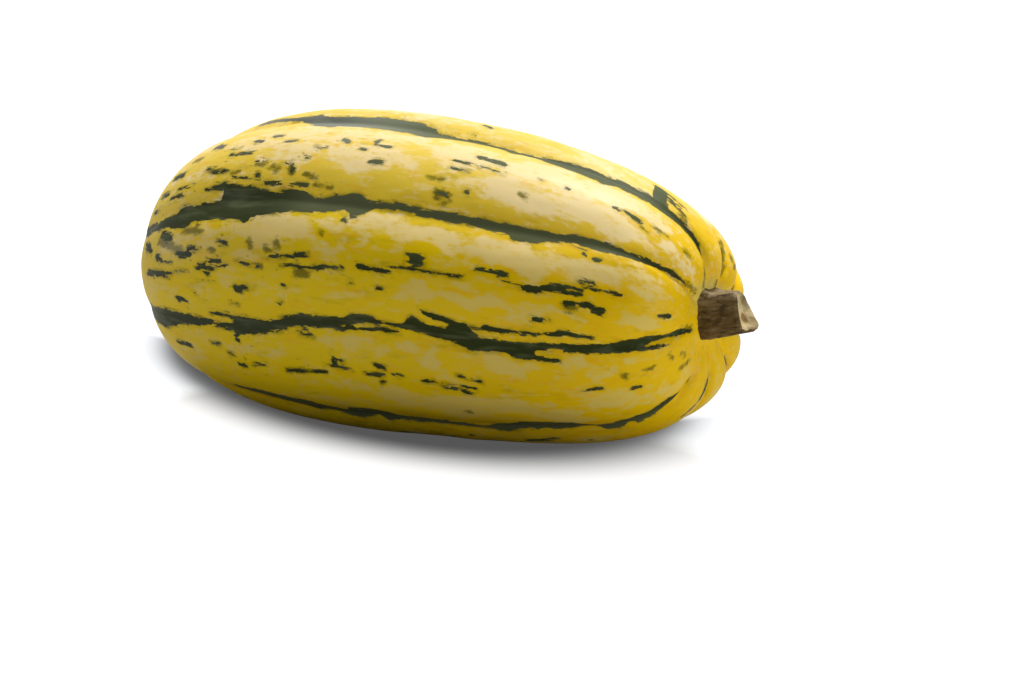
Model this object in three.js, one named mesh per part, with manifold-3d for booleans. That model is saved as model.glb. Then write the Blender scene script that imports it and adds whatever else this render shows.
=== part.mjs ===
// Delicata squash: one ribbed fruit and the woody stub of its stem, lying on its side.
//
// Millimetres, +Z up. The fruit lies along X with the stem toward +X. It rests on z = 0
// on the flattened spot where it lay on the ground, and the origin is below the middle
// of its bounding box. Angles round the fruit are in degrees: 0 faces -Y, 90 faces up.

import * as THREE from 'three';
import { mergeVertices } from 'three/addons/utils/BufferGeometryUtils.js';
import Module from 'manifold-3d';

// Driving dimensions of the fruit.
const CREST_RADIUS = 45.9;      // over the rib crests, at mid length
const TAPER = -0.147;           // share of the radius lost from mid length to the stem end
const REST_LEVEL = 44.5;        // height of the fruit's axis over the surface it rests on
const BOX_SHIFT = { x: -5.8, y: 0.2 };   // puts the middle of the bounding box over the origin

// The two ends. `reach` is the length from the middle to the tip, and `fullness` and
// `roundness` shape the outline between them. `side` and `lift` are how far the axis has
// bent at the tip, and `skew` makes the +Y side reach further than the other.
const STEM_END = {
  sign: 1, reach: 94, fullness: 2.9, roundness: 0.286, side: 0.2, lift: -5.4, skew: 0.035,
};
const BLOSSOM_END = {
  sign: -1, reach: 95, fullness: 2.19, roundness: 0.361, side: -4.2, lift: -2.5, skew: 0,
};

// Ten furrows part the ribs. Each has its angle at mid length, and how far it turns
// round the fruit by the time it reaches the blossom end and the stem end.
const FURROWS = [
  { middle: -156, blossom: 2, stem: -11 },
  { middle: -126, blossom: 2, stem: -8 },
  { middle: -91, blossom: 4, stem: -10 },
  { middle: -58, blossom: 2, stem: -7 },
  { middle: -12, blossom: -15, stem: 8 },
  { middle: 33, blossom: -17, stem: 16 },
  { middle: 77, blossom: 5, stem: 13 },
  { middle: 104, blossom: -2, stem: 18 },
  { middle: 140, blossom: -2, stem: 12 },
  { middle: 172, blossom: 0, stem: 0 },
];
const FURROW_DEPTH = 2.4;       // crest to furrow at mid length
const SHOULDER_DEPTH = 1.0;     // crest to furrow on the shoulder round the stem
const FURROW_ROUNDING = 0.02;   // softens the bottom of a furrow
const CREST_POWER = 0.40;       // under 0.5 gives plump ribs and narrow furrows
const SHOULDER_CREST_POWER = 0.26;   // plumper still on the shoulder round the stem

// The dimple that the stem sits in.
const SEAT_RADIUS = 8.2;        // flat floor of the dimple
const DIMPLE_RADIUS = 11;
const DIMPLE_DEPTH = 3.8;
const SEAT_SHIFT = { y: -0.7, z: 3.5 };  // the dimple is a little off the axis

// The stem stub: five blunt corners, narrower at the cut, leaning up, cut aslant.
const STEM_LENGTH = 11.9;
const STEM_BASE_RADIUS = 7.0;
const STEM_CUT_RADIUS = 5.6;
const STEM_CORNERS = 5;
const STEM_CORNER_HEIGHT = 0.06;   // share of the radius
const STEM_LEAN = 0.19;            // rise per millimetre of length
const CUT_SLOPE = { y: -0.22, z: -0.36 };  // the lower side is left longer
const STEM_GAP = 0.3;              // clearance over the floor of the dimple

// How finely the two solids are faceted.
const FRUIT_SEGMENTS = 80;
const STATIONS_PER_END = 16;
const STEM_SEGMENTS = 40;
const STEM_STATIONS = 7;

const MATERIALS = {
  rind: new THREE.MeshStandardMaterial({ color: 0xdcb836, roughness: 0.42, metalness: 0 }),
  bark: new THREE.MeshStandardMaterial({ color: 0x54402a, roughness: 0.85, metalness: 0 }),
};

const smoothStep = (low, high, value) => THREE.MathUtils.smoothstep(value, low, high);

/** Angle of a furrow, in degrees, at `along`: -1 at the blossom end to 1 at the stem end. */
function furrowAngle(furrow, along) {
  const turn = along < 0 ? furrow.blossom : furrow.stem;
  return furrow.middle + turn * Math.abs(along) ** 3;
}

/** Height of the ribs at an angle round the fruit: 0 in a furrow, 1 on a crest. */
function ribHeight(degrees, along, crestPower) {
  const angles = FURROWS.map((furrow) => furrowAngle(furrow, along));
  const first = angles[0];
  angles.push(first + 360);
  const turned = first + THREE.MathUtils.euclideanModulo(degrees - first, 360);
  const next = angles.findIndex((angle) => angle > turned);
  const across = (turned - angles[next - 1]) / (angles[next] - angles[next - 1]);
  const arch = (share) => (Math.sin(Math.PI * share) ** 2 + FURROW_ROUNDING) ** crestPower;
  return (arch(across) - arch(0)) / (arch(0.5) - arch(0));
}

/** Point of the smooth outline over the crests. `swell` is 0 at the tip and 1 at mid length. */
function outline(end, swell) {
  const along = end.sign * (1 - swell ** (1 / end.roundness)) ** (1 / end.fullness);
  return { along, x: along * end.reach, radius: CREST_RADIUS * swell * (1 + TAPER * along) };
}

/** How deep the furrows are, and how plump the ribs, where the outline has swollen to `swell`. */
function ribbing(end, swell) {
  if (end === BLOSSOM_END) {
    return { depth: FURROW_DEPTH * smoothStep(0.1, 1, swell), crestPower: CREST_POWER };
  }
  const { lerp } = THREE.MathUtils;
  const flank = smoothStep(0.7, 1, swell);
  return {
    depth: lerp(SHOULDER_DEPTH, FURROW_DEPTH, flank) * smoothStep(0.22, 0.5, swell),
    crestPower: lerp(SHOULDER_CREST_POWER, CREST_POWER, flank),
  };
}

/** Point of the ribbed skin at an angle round the fruit. */
function skinPoint(end, swell, degrees) {
  const here = outline(end, swell);
  const before = outline(end, Math.max(swell - 0.01, 0));
  const after = outline(end, Math.min(swell + 0.01, 1));
  const run = Math.hypot(after.x - before.x, after.radius - before.radius);
  const { depth, crestPower } = ribbing(end, swell);
  const furrow = depth * (1 - ribHeight(degrees, here.along, crestPower));
  let x = here.x - end.sign * furrow * (after.radius - before.radius) / run;
  const radius = here.radius - furrow * Math.abs(after.x - before.x) / run;

  const angle = THREE.MathUtils.degToRad(degrees);
  const bend = here.along ** 2;
  x -= end.skew * bend * radius * Math.cos(angle);
  let y = end.side * bend;
  let z = end.lift * bend;
  if (end === STEM_END) {
    const reach = Math.max(here.radius, SEAT_RADIUS);
    const inward = (1 - swell) ** 2;
    x -= DIMPLE_DEPTH * Math.exp(-((reach / DIMPLE_RADIUS) ** 2));
    y += SEAT_SHIFT.y * inward;
    z += SEAT_SHIFT.z * inward;
  }
  return new THREE.Vector3(x, y - radius * Math.cos(angle), z + radius * Math.sin(angle));
}

/** Moves each vertex of a lathed solid to `place(station, degrees)` and welds the seam. */
function sculptLathe(profile, segments, place) {
  const lathe = new THREE.LatheGeometry(profile, segments);
  lathe.deleteAttribute('normal');
  lathe.deleteAttribute('uv');
  const position = lathe.attributes.position;
  for (let index = 0; index < position.count; index += 1) {
    const turn = Math.floor(index / profile.length) % segments;
    const point = place(index % profile.length, (360 * turn) / segments);
    position.setXYZ(index, point.x, point.y, point.z);
  }
  return weld(lathe);
}

/** Merges equal vertices and drops the triangles that this closes up at the poles. */
function weld(geometry) {
  const merged = mergeVertices(geometry, 1e-4);
  const corners = merged.index.array;
  const kept = [];
  for (let at = 0; at < corners.length; at += 3) {
    const [a, b, c] = corners.slice(at, at + 3);
    if (a !== b && b !== c && c !== a) {
      kept.push(a, b, c);
    }
  }
  merged.setIndex(kept);
  return merged;
}

/** The fruit as lathed: a profile from the floor of the dimple round to the blossom end. */
function fruitSkin() {
  const seat = Math.asin(SEAT_RADIUS / (CREST_RADIUS * (1 + TAPER)));
  const stations = [{ end: STEM_END, swell: 0 }];
  for (let step = 0; step <= STATIONS_PER_END; step += 1) {
    const bow = THREE.MathUtils.lerp(seat, Math.PI / 2, step / STATIONS_PER_END);
    stations.push({ end: STEM_END, swell: Math.sin(bow) });
  }
  for (let step = STATIONS_PER_END - 1; step >= 0; step -= 1) {
    const bow = (Math.PI / 2) * (step / STATIONS_PER_END);
    stations.push({ end: BLOSSOM_END, swell: Math.sin(bow) });
  }
  const profile = stations.map(({ end, swell }) => {
    const point = outline(end, swell);
    return new THREE.Vector2(point.radius, point.x);
  });
  return sculptLathe(profile, FRUIT_SEGMENTS, (station, degrees) => {
    const { end, swell } = stations[station];
    return skinPoint(end, swell, degrees);
  });
}

/** Cuts the ground spot: all that lies below the surface the fruit rests on. */
async function cutGroundSpot(geometry) {
  const wasm = await Module();
  wasm.setup();
  const solid = (source) => new wasm.Manifold(new wasm.Mesh({
    numProp: 3,
    vertProperties: new Float32Array(source.attributes.position.array),
    triVerts: new Uint32Array(source.index.array),
  }));
  const size = 2 * BLOSSOM_END.reach;
  const below = new THREE.BoxGeometry(size, size, size);
  below.deleteAttribute('normal');
  below.deleteAttribute('uv');
  below.translate(0, 0, -REST_LEVEL - size / 2);
  const mesh = solid(geometry).subtract(solid(mergeVertices(below, 1e-4))).getMesh();
  const cut = new THREE.BufferGeometry();
  cut.setAttribute('position', new THREE.BufferAttribute(mesh.vertProperties, 3));
  cut.setIndex(new THREE.BufferAttribute(mesh.triVerts, 1));
  return cut;
}

/** The stem stub, with its foot centred on the origin and its length along +X. */
function stemStub() {
  const rings = STEM_STATIONS - 1;
  const profile = [new THREE.Vector2(0, 0)];
  for (let ring = 0; ring <= rings; ring += 1) {
    profile.push(new THREE.Vector2(STEM_BASE_RADIUS, (STEM_LENGTH * ring) / rings));
  }
  profile.push(new THREE.Vector2(0, STEM_LENGTH));
  profile.reverse();
  return sculptLathe(profile, STEM_SEGMENTS, (station, degrees) => {
    const { x: reach, y: height } = profile[station];
    const share = height / STEM_LENGTH;
    const angle = THREE.MathUtils.degToRad(degrees);
    const corner = 1 + STEM_CORNER_HEIGHT * Math.cos(STEM_CORNERS * (angle - Math.PI / 2));
    const wide = THREE.MathUtils.lerp(STEM_BASE_RADIUS, STEM_CUT_RADIUS, Math.sqrt(share));
    const radius = reach > 0 ? wide * corner : 0;
    const y = -radius * Math.cos(angle);
    const z = radius * Math.sin(angle);
    const x = share * (STEM_LENGTH + CUT_SLOPE.y * y + CUT_SLOPE.z * z);
    return new THREE.Vector3(x, y, z + STEM_LEAN * x);
  });
}

/** One named sub-part. */
function piece(name, geometry, material) {
  const mesh = new THREE.Mesh(geometry, material);
  mesh.name = name;
  return mesh;
}

const squash = new THREE.Group();
squash.position.set(BOX_SHIFT.x, BOX_SHIFT.y, REST_LEVEL);

squash.add(piece('fruit', await cutGroundSpot(fruitSkin()), MATERIALS.rind));

const seatCentre = skinPoint(STEM_END, 0, 0);
const stem = piece('stem', stemStub(), MATERIALS.bark);
stem.position.set(seatCentre.x + STEM_GAP, seatCentre.y, seatCentre.z);
squash.add(stem);

export default squash;
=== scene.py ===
"""Delicata squash lying on its side: the ribbed, striped fruit and the corky stub of its stem.

The scene is in metres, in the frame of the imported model. Shapes and markings are worked out
in millimetres. `arc` runs over the fruit's skin from the blossom end to the seat of the stem,
and angles go round the fruit in degrees: 0 faces -Y, 90 faces up.
"""

from __future__ import annotations

import logging
import math
from dataclasses import dataclass, field
from enum import Enum

import bmesh
import bpy
import numpy as np
from mathutils import Matrix, Vector, noise


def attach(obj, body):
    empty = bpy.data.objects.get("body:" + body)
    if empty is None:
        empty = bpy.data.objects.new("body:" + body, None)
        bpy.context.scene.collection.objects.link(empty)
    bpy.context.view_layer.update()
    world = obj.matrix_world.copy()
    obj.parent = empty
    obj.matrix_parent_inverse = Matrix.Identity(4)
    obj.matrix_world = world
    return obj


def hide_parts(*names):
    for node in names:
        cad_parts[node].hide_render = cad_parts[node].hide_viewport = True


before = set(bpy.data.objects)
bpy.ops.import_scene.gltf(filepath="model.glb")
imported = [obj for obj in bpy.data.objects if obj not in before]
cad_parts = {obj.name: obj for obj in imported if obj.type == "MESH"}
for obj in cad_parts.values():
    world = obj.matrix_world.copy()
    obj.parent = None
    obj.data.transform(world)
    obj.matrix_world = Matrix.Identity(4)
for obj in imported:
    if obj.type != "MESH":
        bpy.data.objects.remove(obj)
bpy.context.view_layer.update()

LOG = logging.getLogger("squash")
MM = 0.001


# --------------------------------------------------------------------------------------
# Small helpers
# --------------------------------------------------------------------------------------


def smooth_step(low: float, high: float, value: np.ndarray) -> np.ndarray:
    """Rises smoothly from 0 at low to 1 at high."""
    share = np.clip((value - low) / (high - low), 0.0, 1.0)
    return share * share * (3.0 - 2.0 * share)


def linear(red: int, green: int, blue: int) -> tuple[float, float, float, float]:
    """Turns an ordinary 0 to 255 colour into the linear one that a shader takes.

    Args:
        red: Red, 0 to 255.
        green: Green, 0 to 255.
        blue: Blue, 0 to 255.

    Returns:
        Linear red, green and blue, and an alpha of 1.
    """
    channels = []
    for value in (red, green, blue):
        share = value / 255
        channels.append(share / 12.92 if share <= 0.04045 else ((share + 0.055) / 1.055) ** 2.4)
    return (*channels, 1.0)


def plateau(edges: tuple[float, float, float, float], value: np.ndarray) -> np.ndarray:
    """Rises from 0 to 1 between the first two edges and falls back between the last two."""
    return smooth_step(edges[0], edges[1], value) * smooth_step(edges[3], edges[2], value)


def turn_from(degrees: np.ndarray, middle: np.ndarray | float) -> np.ndarray:
    """Angles measured from a middle, the short way round."""
    return np.mod(degrees - middle + 180.0, 360.0) - 180.0


def running_mean(values: np.ndarray, count: int) -> np.ndarray:
    """Mean of each run of count values."""
    return np.convolve(values, np.ones(count) / count, "valid")


@dataclass(frozen=True)
class Draw:
    """A random size: its least value, how much more it can be, and a power to keep most small."""

    least: float
    more: float
    power: float = 1.0

    def take(self, chance: np.random.Generator, count: int | None = None) -> np.ndarray:
        """Takes one value, or as many as asked for."""
        return self.least + self.more * chance.random(count) ** self.power


@dataclass(frozen=True)
class Lumps:
    """Soft noise: size of a lump in millimetres, its own offset, and a scale along x."""

    size: float
    offset: float
    along: float = 1.0

    def at(self, points: np.ndarray) -> np.ndarray:
        """Reads the noise.

        Args:
            points: Places, one row each, in millimetres.

        Returns:
            A value between -1 and 1 for each point.
        """
        scaled = points * np.array([self.along, 1.0, 1.0]) / self.size + self.offset
        return np.array([noise.noise(Vector(point)) for point in scaled.tolist()])


# --------------------------------------------------------------------------------------
# Shape of the fruit, the same as in the solids
# --------------------------------------------------------------------------------------


@dataclass(frozen=True)
class End:
    """One end of the fruit. Sign is 1 toward the stem and -1 toward the blossom scar."""

    sign: int
    reach: float
    fullness: float
    roundness: float
    side: float
    lift: float
    skew: float


@dataclass(frozen=True)
class Furrow:
    """A furrow's angle at mid length, and its turn by the blossom end and the stem end."""

    middle: float
    blossom: float
    stem: float


STEM_END = End(1, 94.0, 2.9, 0.286, 0.2, -5.4, 0.035)
BLOSSOM_END = End(-1, 95.0, 2.19, 0.361, -4.2, -2.5, 0.0)
FURROWS = (
    Furrow(-156, 2, -11),
    Furrow(-126, 2, -8),
    Furrow(-91, 4, -10),
    Furrow(-58, 2, -7),
    Furrow(-12, -15, 8),
    Furrow(33, -17, 16),
    Furrow(77, 5, 13),
    Furrow(104, -2, 18),
    Furrow(140, -2, 12),
    Furrow(172, 0, 0),
)


@dataclass
class FruitShape:
    """The skin of the fruit as a function of arc and angle, in millimetres."""

    crest_radius: float = 45.9
    taper: float = -0.147
    axis: tuple[float, float, float] = (-5.8, 0.2, 44.5)
    furrow_depth: float = 2.4
    shoulder_depth: float = 1.0
    furrow_rounding: float = 0.02
    crest_power: float = 0.40
    shoulder_crest_power: float = 0.26
    seat_radius: float = 8.2
    dimple_radius: float = 11.0
    dimple_depth: float = 3.8
    seat_shift: tuple[float, float] = (-0.7, 3.5)
    samples: int = 3000
    table: dict[str, np.ndarray] = field(default_factory=dict)

    def __post_init__(self) -> None:
        """Measures the outline, so that any arc can be looked up."""
        swell = np.sin(np.linspace(0.0, math.pi / 2, self.samples))
        _, blossom_x, blossom_r = self.outline(BLOSSOM_END, swell)
        _, stem_x, stem_r = self.outline(STEM_END, swell[::-1])
        along = np.concatenate([blossom_x, stem_x[1:]])
        radius = np.concatenate([blossom_r, stem_r[1:]])
        steps = np.hypot(np.diff(along), np.diff(radius))
        self.table = {
            "arc": np.concatenate([[0.0], np.cumsum(steps)]),
            "swell": np.concatenate([swell, swell[::-1][1:]]),
            "radius": radius,
        }

    @property
    def length(self) -> float:
        """Arc from the blossom end to the middle of the stem's seat."""
        return float(self.table["arc"][-1])

    @property
    def middle(self) -> float:
        """Arc at mid length, where the two ends meet."""
        return float(self.table["arc"][self.samples - 1])

    def along(self, arc: np.ndarray) -> np.ndarray:
        """Looks up how far toward a tip an arc lies.

        Args:
            arc: Arcs from the blossom end.

        Returns:
            Shares of the length, below 0 in the blossom half.
        """
        swell = np.interp(arc, self.table["arc"], self.table["swell"])
        ends = [self.outline(end, swell)[0] for end in (BLOSSOM_END, STEM_END)]
        return np.where(arc < self.middle, *ends)

    def radius_at(self, arc: np.ndarray) -> np.ndarray:
        """Radius over the rib crests at an arc."""
        return np.interp(arc, self.table["arc"], self.table["radius"])

    def outline(self, end: End, swell: np.ndarray) -> tuple[np.ndarray, np.ndarray, np.ndarray]:
        """The smooth outline over the rib crests.

        Args:
            end: Which end of the fruit.
            swell: 0 at the tip to 1 at mid length.

        Returns:
            Share of the length toward the tip, place along the axis, and radius.
        """
        closing = np.clip(1.0 - np.power(swell, 1.0 / end.roundness), 0.0, 1.0)
        along = end.sign * np.power(closing, 1.0 / end.fullness)
        return along, along * end.reach, self.crest_radius * swell * (1.0 + self.taper * along)

    @staticmethod
    def calm(swell: np.ndarray) -> np.ndarray:
        """Flattens the ribs a little where the fruit closes at the blossom end."""
        return 0.55 + 0.45 * smooth_step(0.72, 0.97, swell)

    def furrow_angles(self, along: np.ndarray) -> np.ndarray:
        """Angles of the ten furrows, which turn toward the ends.

        Args:
            along: Shares of the length toward the tip.

        Returns:
            Degrees, with the furrows as one more axis.
        """
        cubed = np.abs(along[..., None]) ** 3
        middle = np.array([furrow.middle for furrow in FURROWS], float)
        blossom = np.array([furrow.blossom for furrow in FURROWS], float)
        stem = np.array([furrow.stem for furrow in FURROWS], float)
        return middle + np.where(along[..., None] < 0, blossom, stem) * cubed

    def rib_height(self, degrees: np.ndarray, along: np.ndarray, power: np.ndarray) -> np.ndarray:
        """Height of the ribs.

        Args:
            degrees: Angles round the fruit.
            along: Shares of the length toward the tip.
            power: How plump the ribs are, under 0.5 for plump ones.

        Returns:
            0 in a furrow to 1 on a crest.
        """
        angles = self.furrow_angles(along)
        angles = np.concatenate([angles, angles[..., :1] + 360.0], axis=-1)
        first = angles[..., 0]
        turned = first + np.mod(degrees - first, 360.0)
        after = np.clip((angles <= turned[..., None]).sum(-1), 1, len(FURROWS))
        low = np.take_along_axis(angles, (after - 1)[..., None], -1)[..., 0]
        high = np.take_along_axis(angles, after[..., None], -1)[..., 0]
        across = (turned - low) / (high - low)

        def arch(share: np.ndarray | float) -> np.ndarray:
            """Profile of one rib from furrow to furrow."""
            return (np.sin(math.pi * share) ** 2 + self.furrow_rounding) ** power

        return (arch(across) - arch(0.0)) / (arch(0.5) - arch(0.0))

    def skin(
        self, end: End, swell: np.ndarray, degrees: np.ndarray, sink: np.ndarray
    ) -> np.ndarray:
        """Points of the ribbed skin, in millimetres in the part's frame.

        Args:
            end: Which end of the fruit the points belong to.
            swell: 0 at the tip to 1 at mid length.
            degrees: Angles round the fruit.
            sink: How far each point lies below the plain ribbed skin.

        Returns:
            One row of x, y and z for each point.
        """
        along, x, radius = self.outline(end, swell)
        _, x_before, r_before = self.outline(end, np.clip(swell - 0.01, 0.0, 1.0))
        _, x_after, r_after = self.outline(end, np.clip(swell + 0.01, 0.0, 1.0))
        run = np.hypot(x_after - x_before, r_after - r_before)
        if end is BLOSSOM_END:
            depth = self.furrow_depth * smooth_step(0.1, 1.0, swell) * self.calm(swell)
            power = np.full_like(swell, self.crest_power)
        else:
            flank = smooth_step(0.7, 1.0, swell)
            depth = self.shoulder_depth + (self.furrow_depth - self.shoulder_depth) * flank
            depth = depth * smooth_step(0.22, 0.5, swell)
            power = self.shoulder_crest_power
            power = power + (self.crest_power - self.shoulder_crest_power) * flank
        below = depth * (1.0 - self.rib_height(degrees, along, power)) + sink
        x = x - end.sign * below * (r_after - r_before) / run
        rounded = radius - below * np.abs(x_after - x_before) / run

        angle = np.radians(degrees)
        bend = along**2
        x = x - end.skew * bend * rounded * np.cos(angle)
        y = end.side * bend
        z = end.lift * bend
        if end is STEM_END:
            reach = np.maximum(radius, self.seat_radius)
            inward = (1.0 - swell) ** 2
            x = x - self.dimple_depth * np.exp(-((reach / self.dimple_radius) ** 2))
            y = y + self.seat_shift[0] * inward
            z = z + self.seat_shift[1] * inward
        y = y - rounded * np.cos(angle)
        z = z + rounded * np.sin(angle)
        return np.stack([x, y, z], axis=-1) + np.array(self.axis)

    def dimple_floor(self) -> np.ndarray:
        """Middle of the dimple's floor, where the stem sits, in millimetres."""
        tip = np.zeros(1)
        return self.skin(STEM_END, tip, tip, tip)[0]

    def place(self, arc: np.ndarray, degrees: np.ndarray, sink: np.ndarray) -> np.ndarray:
        """Points of the skin by arc and angle, set down on the ground spot.

        Args:
            arc: Arcs from the blossom end.
            degrees: Angles round the fruit.
            sink: How far each point lies below the plain ribbed skin.

        Returns:
            One row of x, y and z for each point, in millimetres.
        """
        swell = np.interp(arc, self.table["arc"], self.table["swell"])
        blossom = arc < self.middle
        points = np.zeros((len(arc), 3))
        for end, chosen in ((BLOSSOM_END, blossom), (STEM_END, ~blossom)):
            points[chosen] = self.skin(end, swell[chosen], degrees[chosen], sink[chosen])
        points[:, 2] = np.maximum(points[:, 2], 0.0)
        return points


# --------------------------------------------------------------------------------------
# Markings
# --------------------------------------------------------------------------------------


@dataclass(frozen=True)
class Stripe:
    """A long dark green marking. Each station is an arc and the angles of its two edges."""

    stations: tuple[tuple[float, float, float], ...]


@dataclass(frozen=True)
class Fleck:
    """A short dash: arc and angle where it starts and ends, and its width in millimetres."""

    arc: float
    degrees: float
    arc_end: float
    degrees_end: float
    width: float


MAIN_STRIPES = (
    # Stripe B.
    Stripe((
        (26, 25, 20), (35, 24, 18), (45, 24, 19), (54, 26, 20), (57, 29.5, 20), (64, 30.5, 20),
        (66, 31, 22.5), (74, 31.5, 23), (75, 38.5, 23), (80, 37.5, 23.5), (86, 37, 23.5),
        (88, 36.5, 21.5), (90, 36, 24.5), (96, 35.5, 26.5), (100, 36.7, 27), (105, 36.5, 28),
        (110, 34, 28.5), (113, 35, 29), (117, 36.5, 30), (121, 38, 31.5), (124, 38, 29),
        (127, 36, 30), (130, 36, 33.5), (138, 36.8, 34), (145, 36, 33.5), (155, 37, 33),
        (160, 37.5, 33.7), (173, 38, 33.5), (174, 38.2, 31.5), (178, 38.5, 32), (181, 39, 33),
        (186, 40, 36), (190, 42.5, 38), (200, 44, 39), (205, 44.5, 41), (209, 46, 42),
        (215, 49, 45.5), (218, 51, 47), (221, 51.2, 49), (223.5, 50.6, 49.8),
    )),
    # Stripe B_prong.
    Stripe(((66, 36.5, 35.5), (70, 38, 35.5), (74, 39, 35.3), (76, 38.5, 34))),
    # Stripe A.
    Stripe((
        (60, 84, 83), (63, 85, 82), (70, 84, 81.5), (73, 82, 80.3), (80, 82, 79), (85, 82.5, 77),
        (88, 81.5, 73), (91, 81, 70), (97, 81.5, 69.5), (105, 81.5, 71.5), (113, 82, 71.5),
        (124, 81.5, 72), (128, 80, 71), (131, 78, 71), (134, 77.3, 73), (138, 77.6, 74.4),
        (146, 77.8, 75.6), (155, 78, 75.6), (158, 78, 73.6), (161, 78.3, 74.6), (165, 79, 76),
        (170, 80.5, 75.5), (175, 82, 75), (185, 83.5, 75), (187, 84, 73), (190, 85, 78.5),
        (195, 86, 78.5), (200, 88, 80), (205, 87.5, 80), (210, 89, 82), (215, 90.5, 83),
        (219, 90, 83), (222, 88, 84), (226, 86, 84.5),
    )),
    # Stripe A_fork.
    Stripe((
        (195, 96.5, 95), (196.5, 97.5, 91.5), (198.5, 97.5, 86), (200.5, 94, 85),
        (201.5, 90.5, 86), (203, 89.5, 86),
    )),
    # Stripe C.
    Stripe((
        (30, -22, -27), (36, -19, -27.5), (45, -16.5, -25.5), (52, -15, -24), (58, -15, -21),
        (63, -15, -19.5), (67, -15.5, -18.5), (75, -15.5, -17.2), (83.5, -14.8, -17.5),
        (84.5, -12.5, -20), (90, -11.5, -18.5), (97, -12.5, -16.5), (103, -10.5, -15),
        (106, -9, -13), (110, -8, -12.8), (120, -8, -12.5), (125, -7.5, -10.8), (128, -5.8, -9.5),
        (134, -5.5, -8.5), (137, -7, -8.5), (145, -7.5, -9), (146, -5, -9), (148, -3.5, -9.5),
        (151, -5.5, -10), (158, -6.5, -12), (161, -4, -12.5), (164, -4.5, -14), (166, -6, -14.5),
        (168, -8.5, -14.5), (176, -9, -13.7), (178, -9, -16), (183, -8.7, -16),
        (184, -8.5, -11.2), (190, -7.5, -10.5), (200, -6.3, -11), (205, -5, -10.5),
        (210, -2.8, -10.5), (213, -1.4, -9.6), (215, -0.5, -7.2), (218, -0.6, -5.6),
        (220, -1.4, -5.2), (223, -1.4, -5.6), (225, 0.4, -7), (227, 0, -8), (229, -4, -11),
        (231, -9, -17), (232, -13, -18),
    )),
    # Stripe C_over.
    Stripe((
        (151, -0.3, -1.2), (153, -1, -2.7), (158, -2, -4), (161, -3, -5), (166, -4.5, -5.5),
        (169, -4.6, -5.5), (170, -3, -5.5), (176, -3.6, -5.5), (180, -4, -5.5), (190, -2.6, -4.3),
        (191, -1, -4), (194, -0.5, -3.6), (197, -1.6, -4), (201, -2.6, -3.4),
    )),
    # Stripe C_under.
    Stripe((
        (119, -11, -12.5), (123, -11.2, -13.2), (127, -11, -12), (132, -10.5, -12),
        (138, -10, -11.5), (143, -10.6, -11.2),
    )),
    # Stripe C_tail.
    Stripe(((182, -13.5, -16), (186, -13.7, -15.8), (191, -14.2, -15.6))),
    # Stripe C_foot.
    Stripe((
        (212, -8, -10.6), (216, -7.8, -10.6), (219, -8.8, -11.2), (222, -10.6, -11.4),
    )),
    # Stripe C_start.
    Stripe(((73, -12.2, -12.8), (77, -11.5, -13), (83, -12.3, -13.6), (86, -12, -14))),
    # Stripe D.
    Stripe((
        (70, -49, -51), (78, -47, -52), (88, -46.5, -56), (95, -48, -59), (101, -48, -59),
        (105, -52, -59), (110, -55, -61), (113, -51, -61.5), (120, -49.5, -59), (122, -49.5, -62),
        (127, -52, -60), (129, -57.5, -60.3), (140, -58, -60), (155, -59.5, -61),
        (158, -59.5, -62), (161, -58, -63), (165, -56, -62), (168, -53, -61), (171, -51, -61),
        (184, -50.5, -61), (187, -51, -59), (190, -55, -58), (193, -58, -64), (197, -57, -64.5),
        (200, -55.5, -62.5), (201.5, -55.5, -60.5), (203, -55, -64), (208, -54.5, -63.5),
        (213, -53.5, -62.5), (215, -54, -60.5), (217, -56.5, -61), (219, -60, -63),
        (221, -62.5, -65), (224, -65.4, -66.6),
    )),
)

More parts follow.
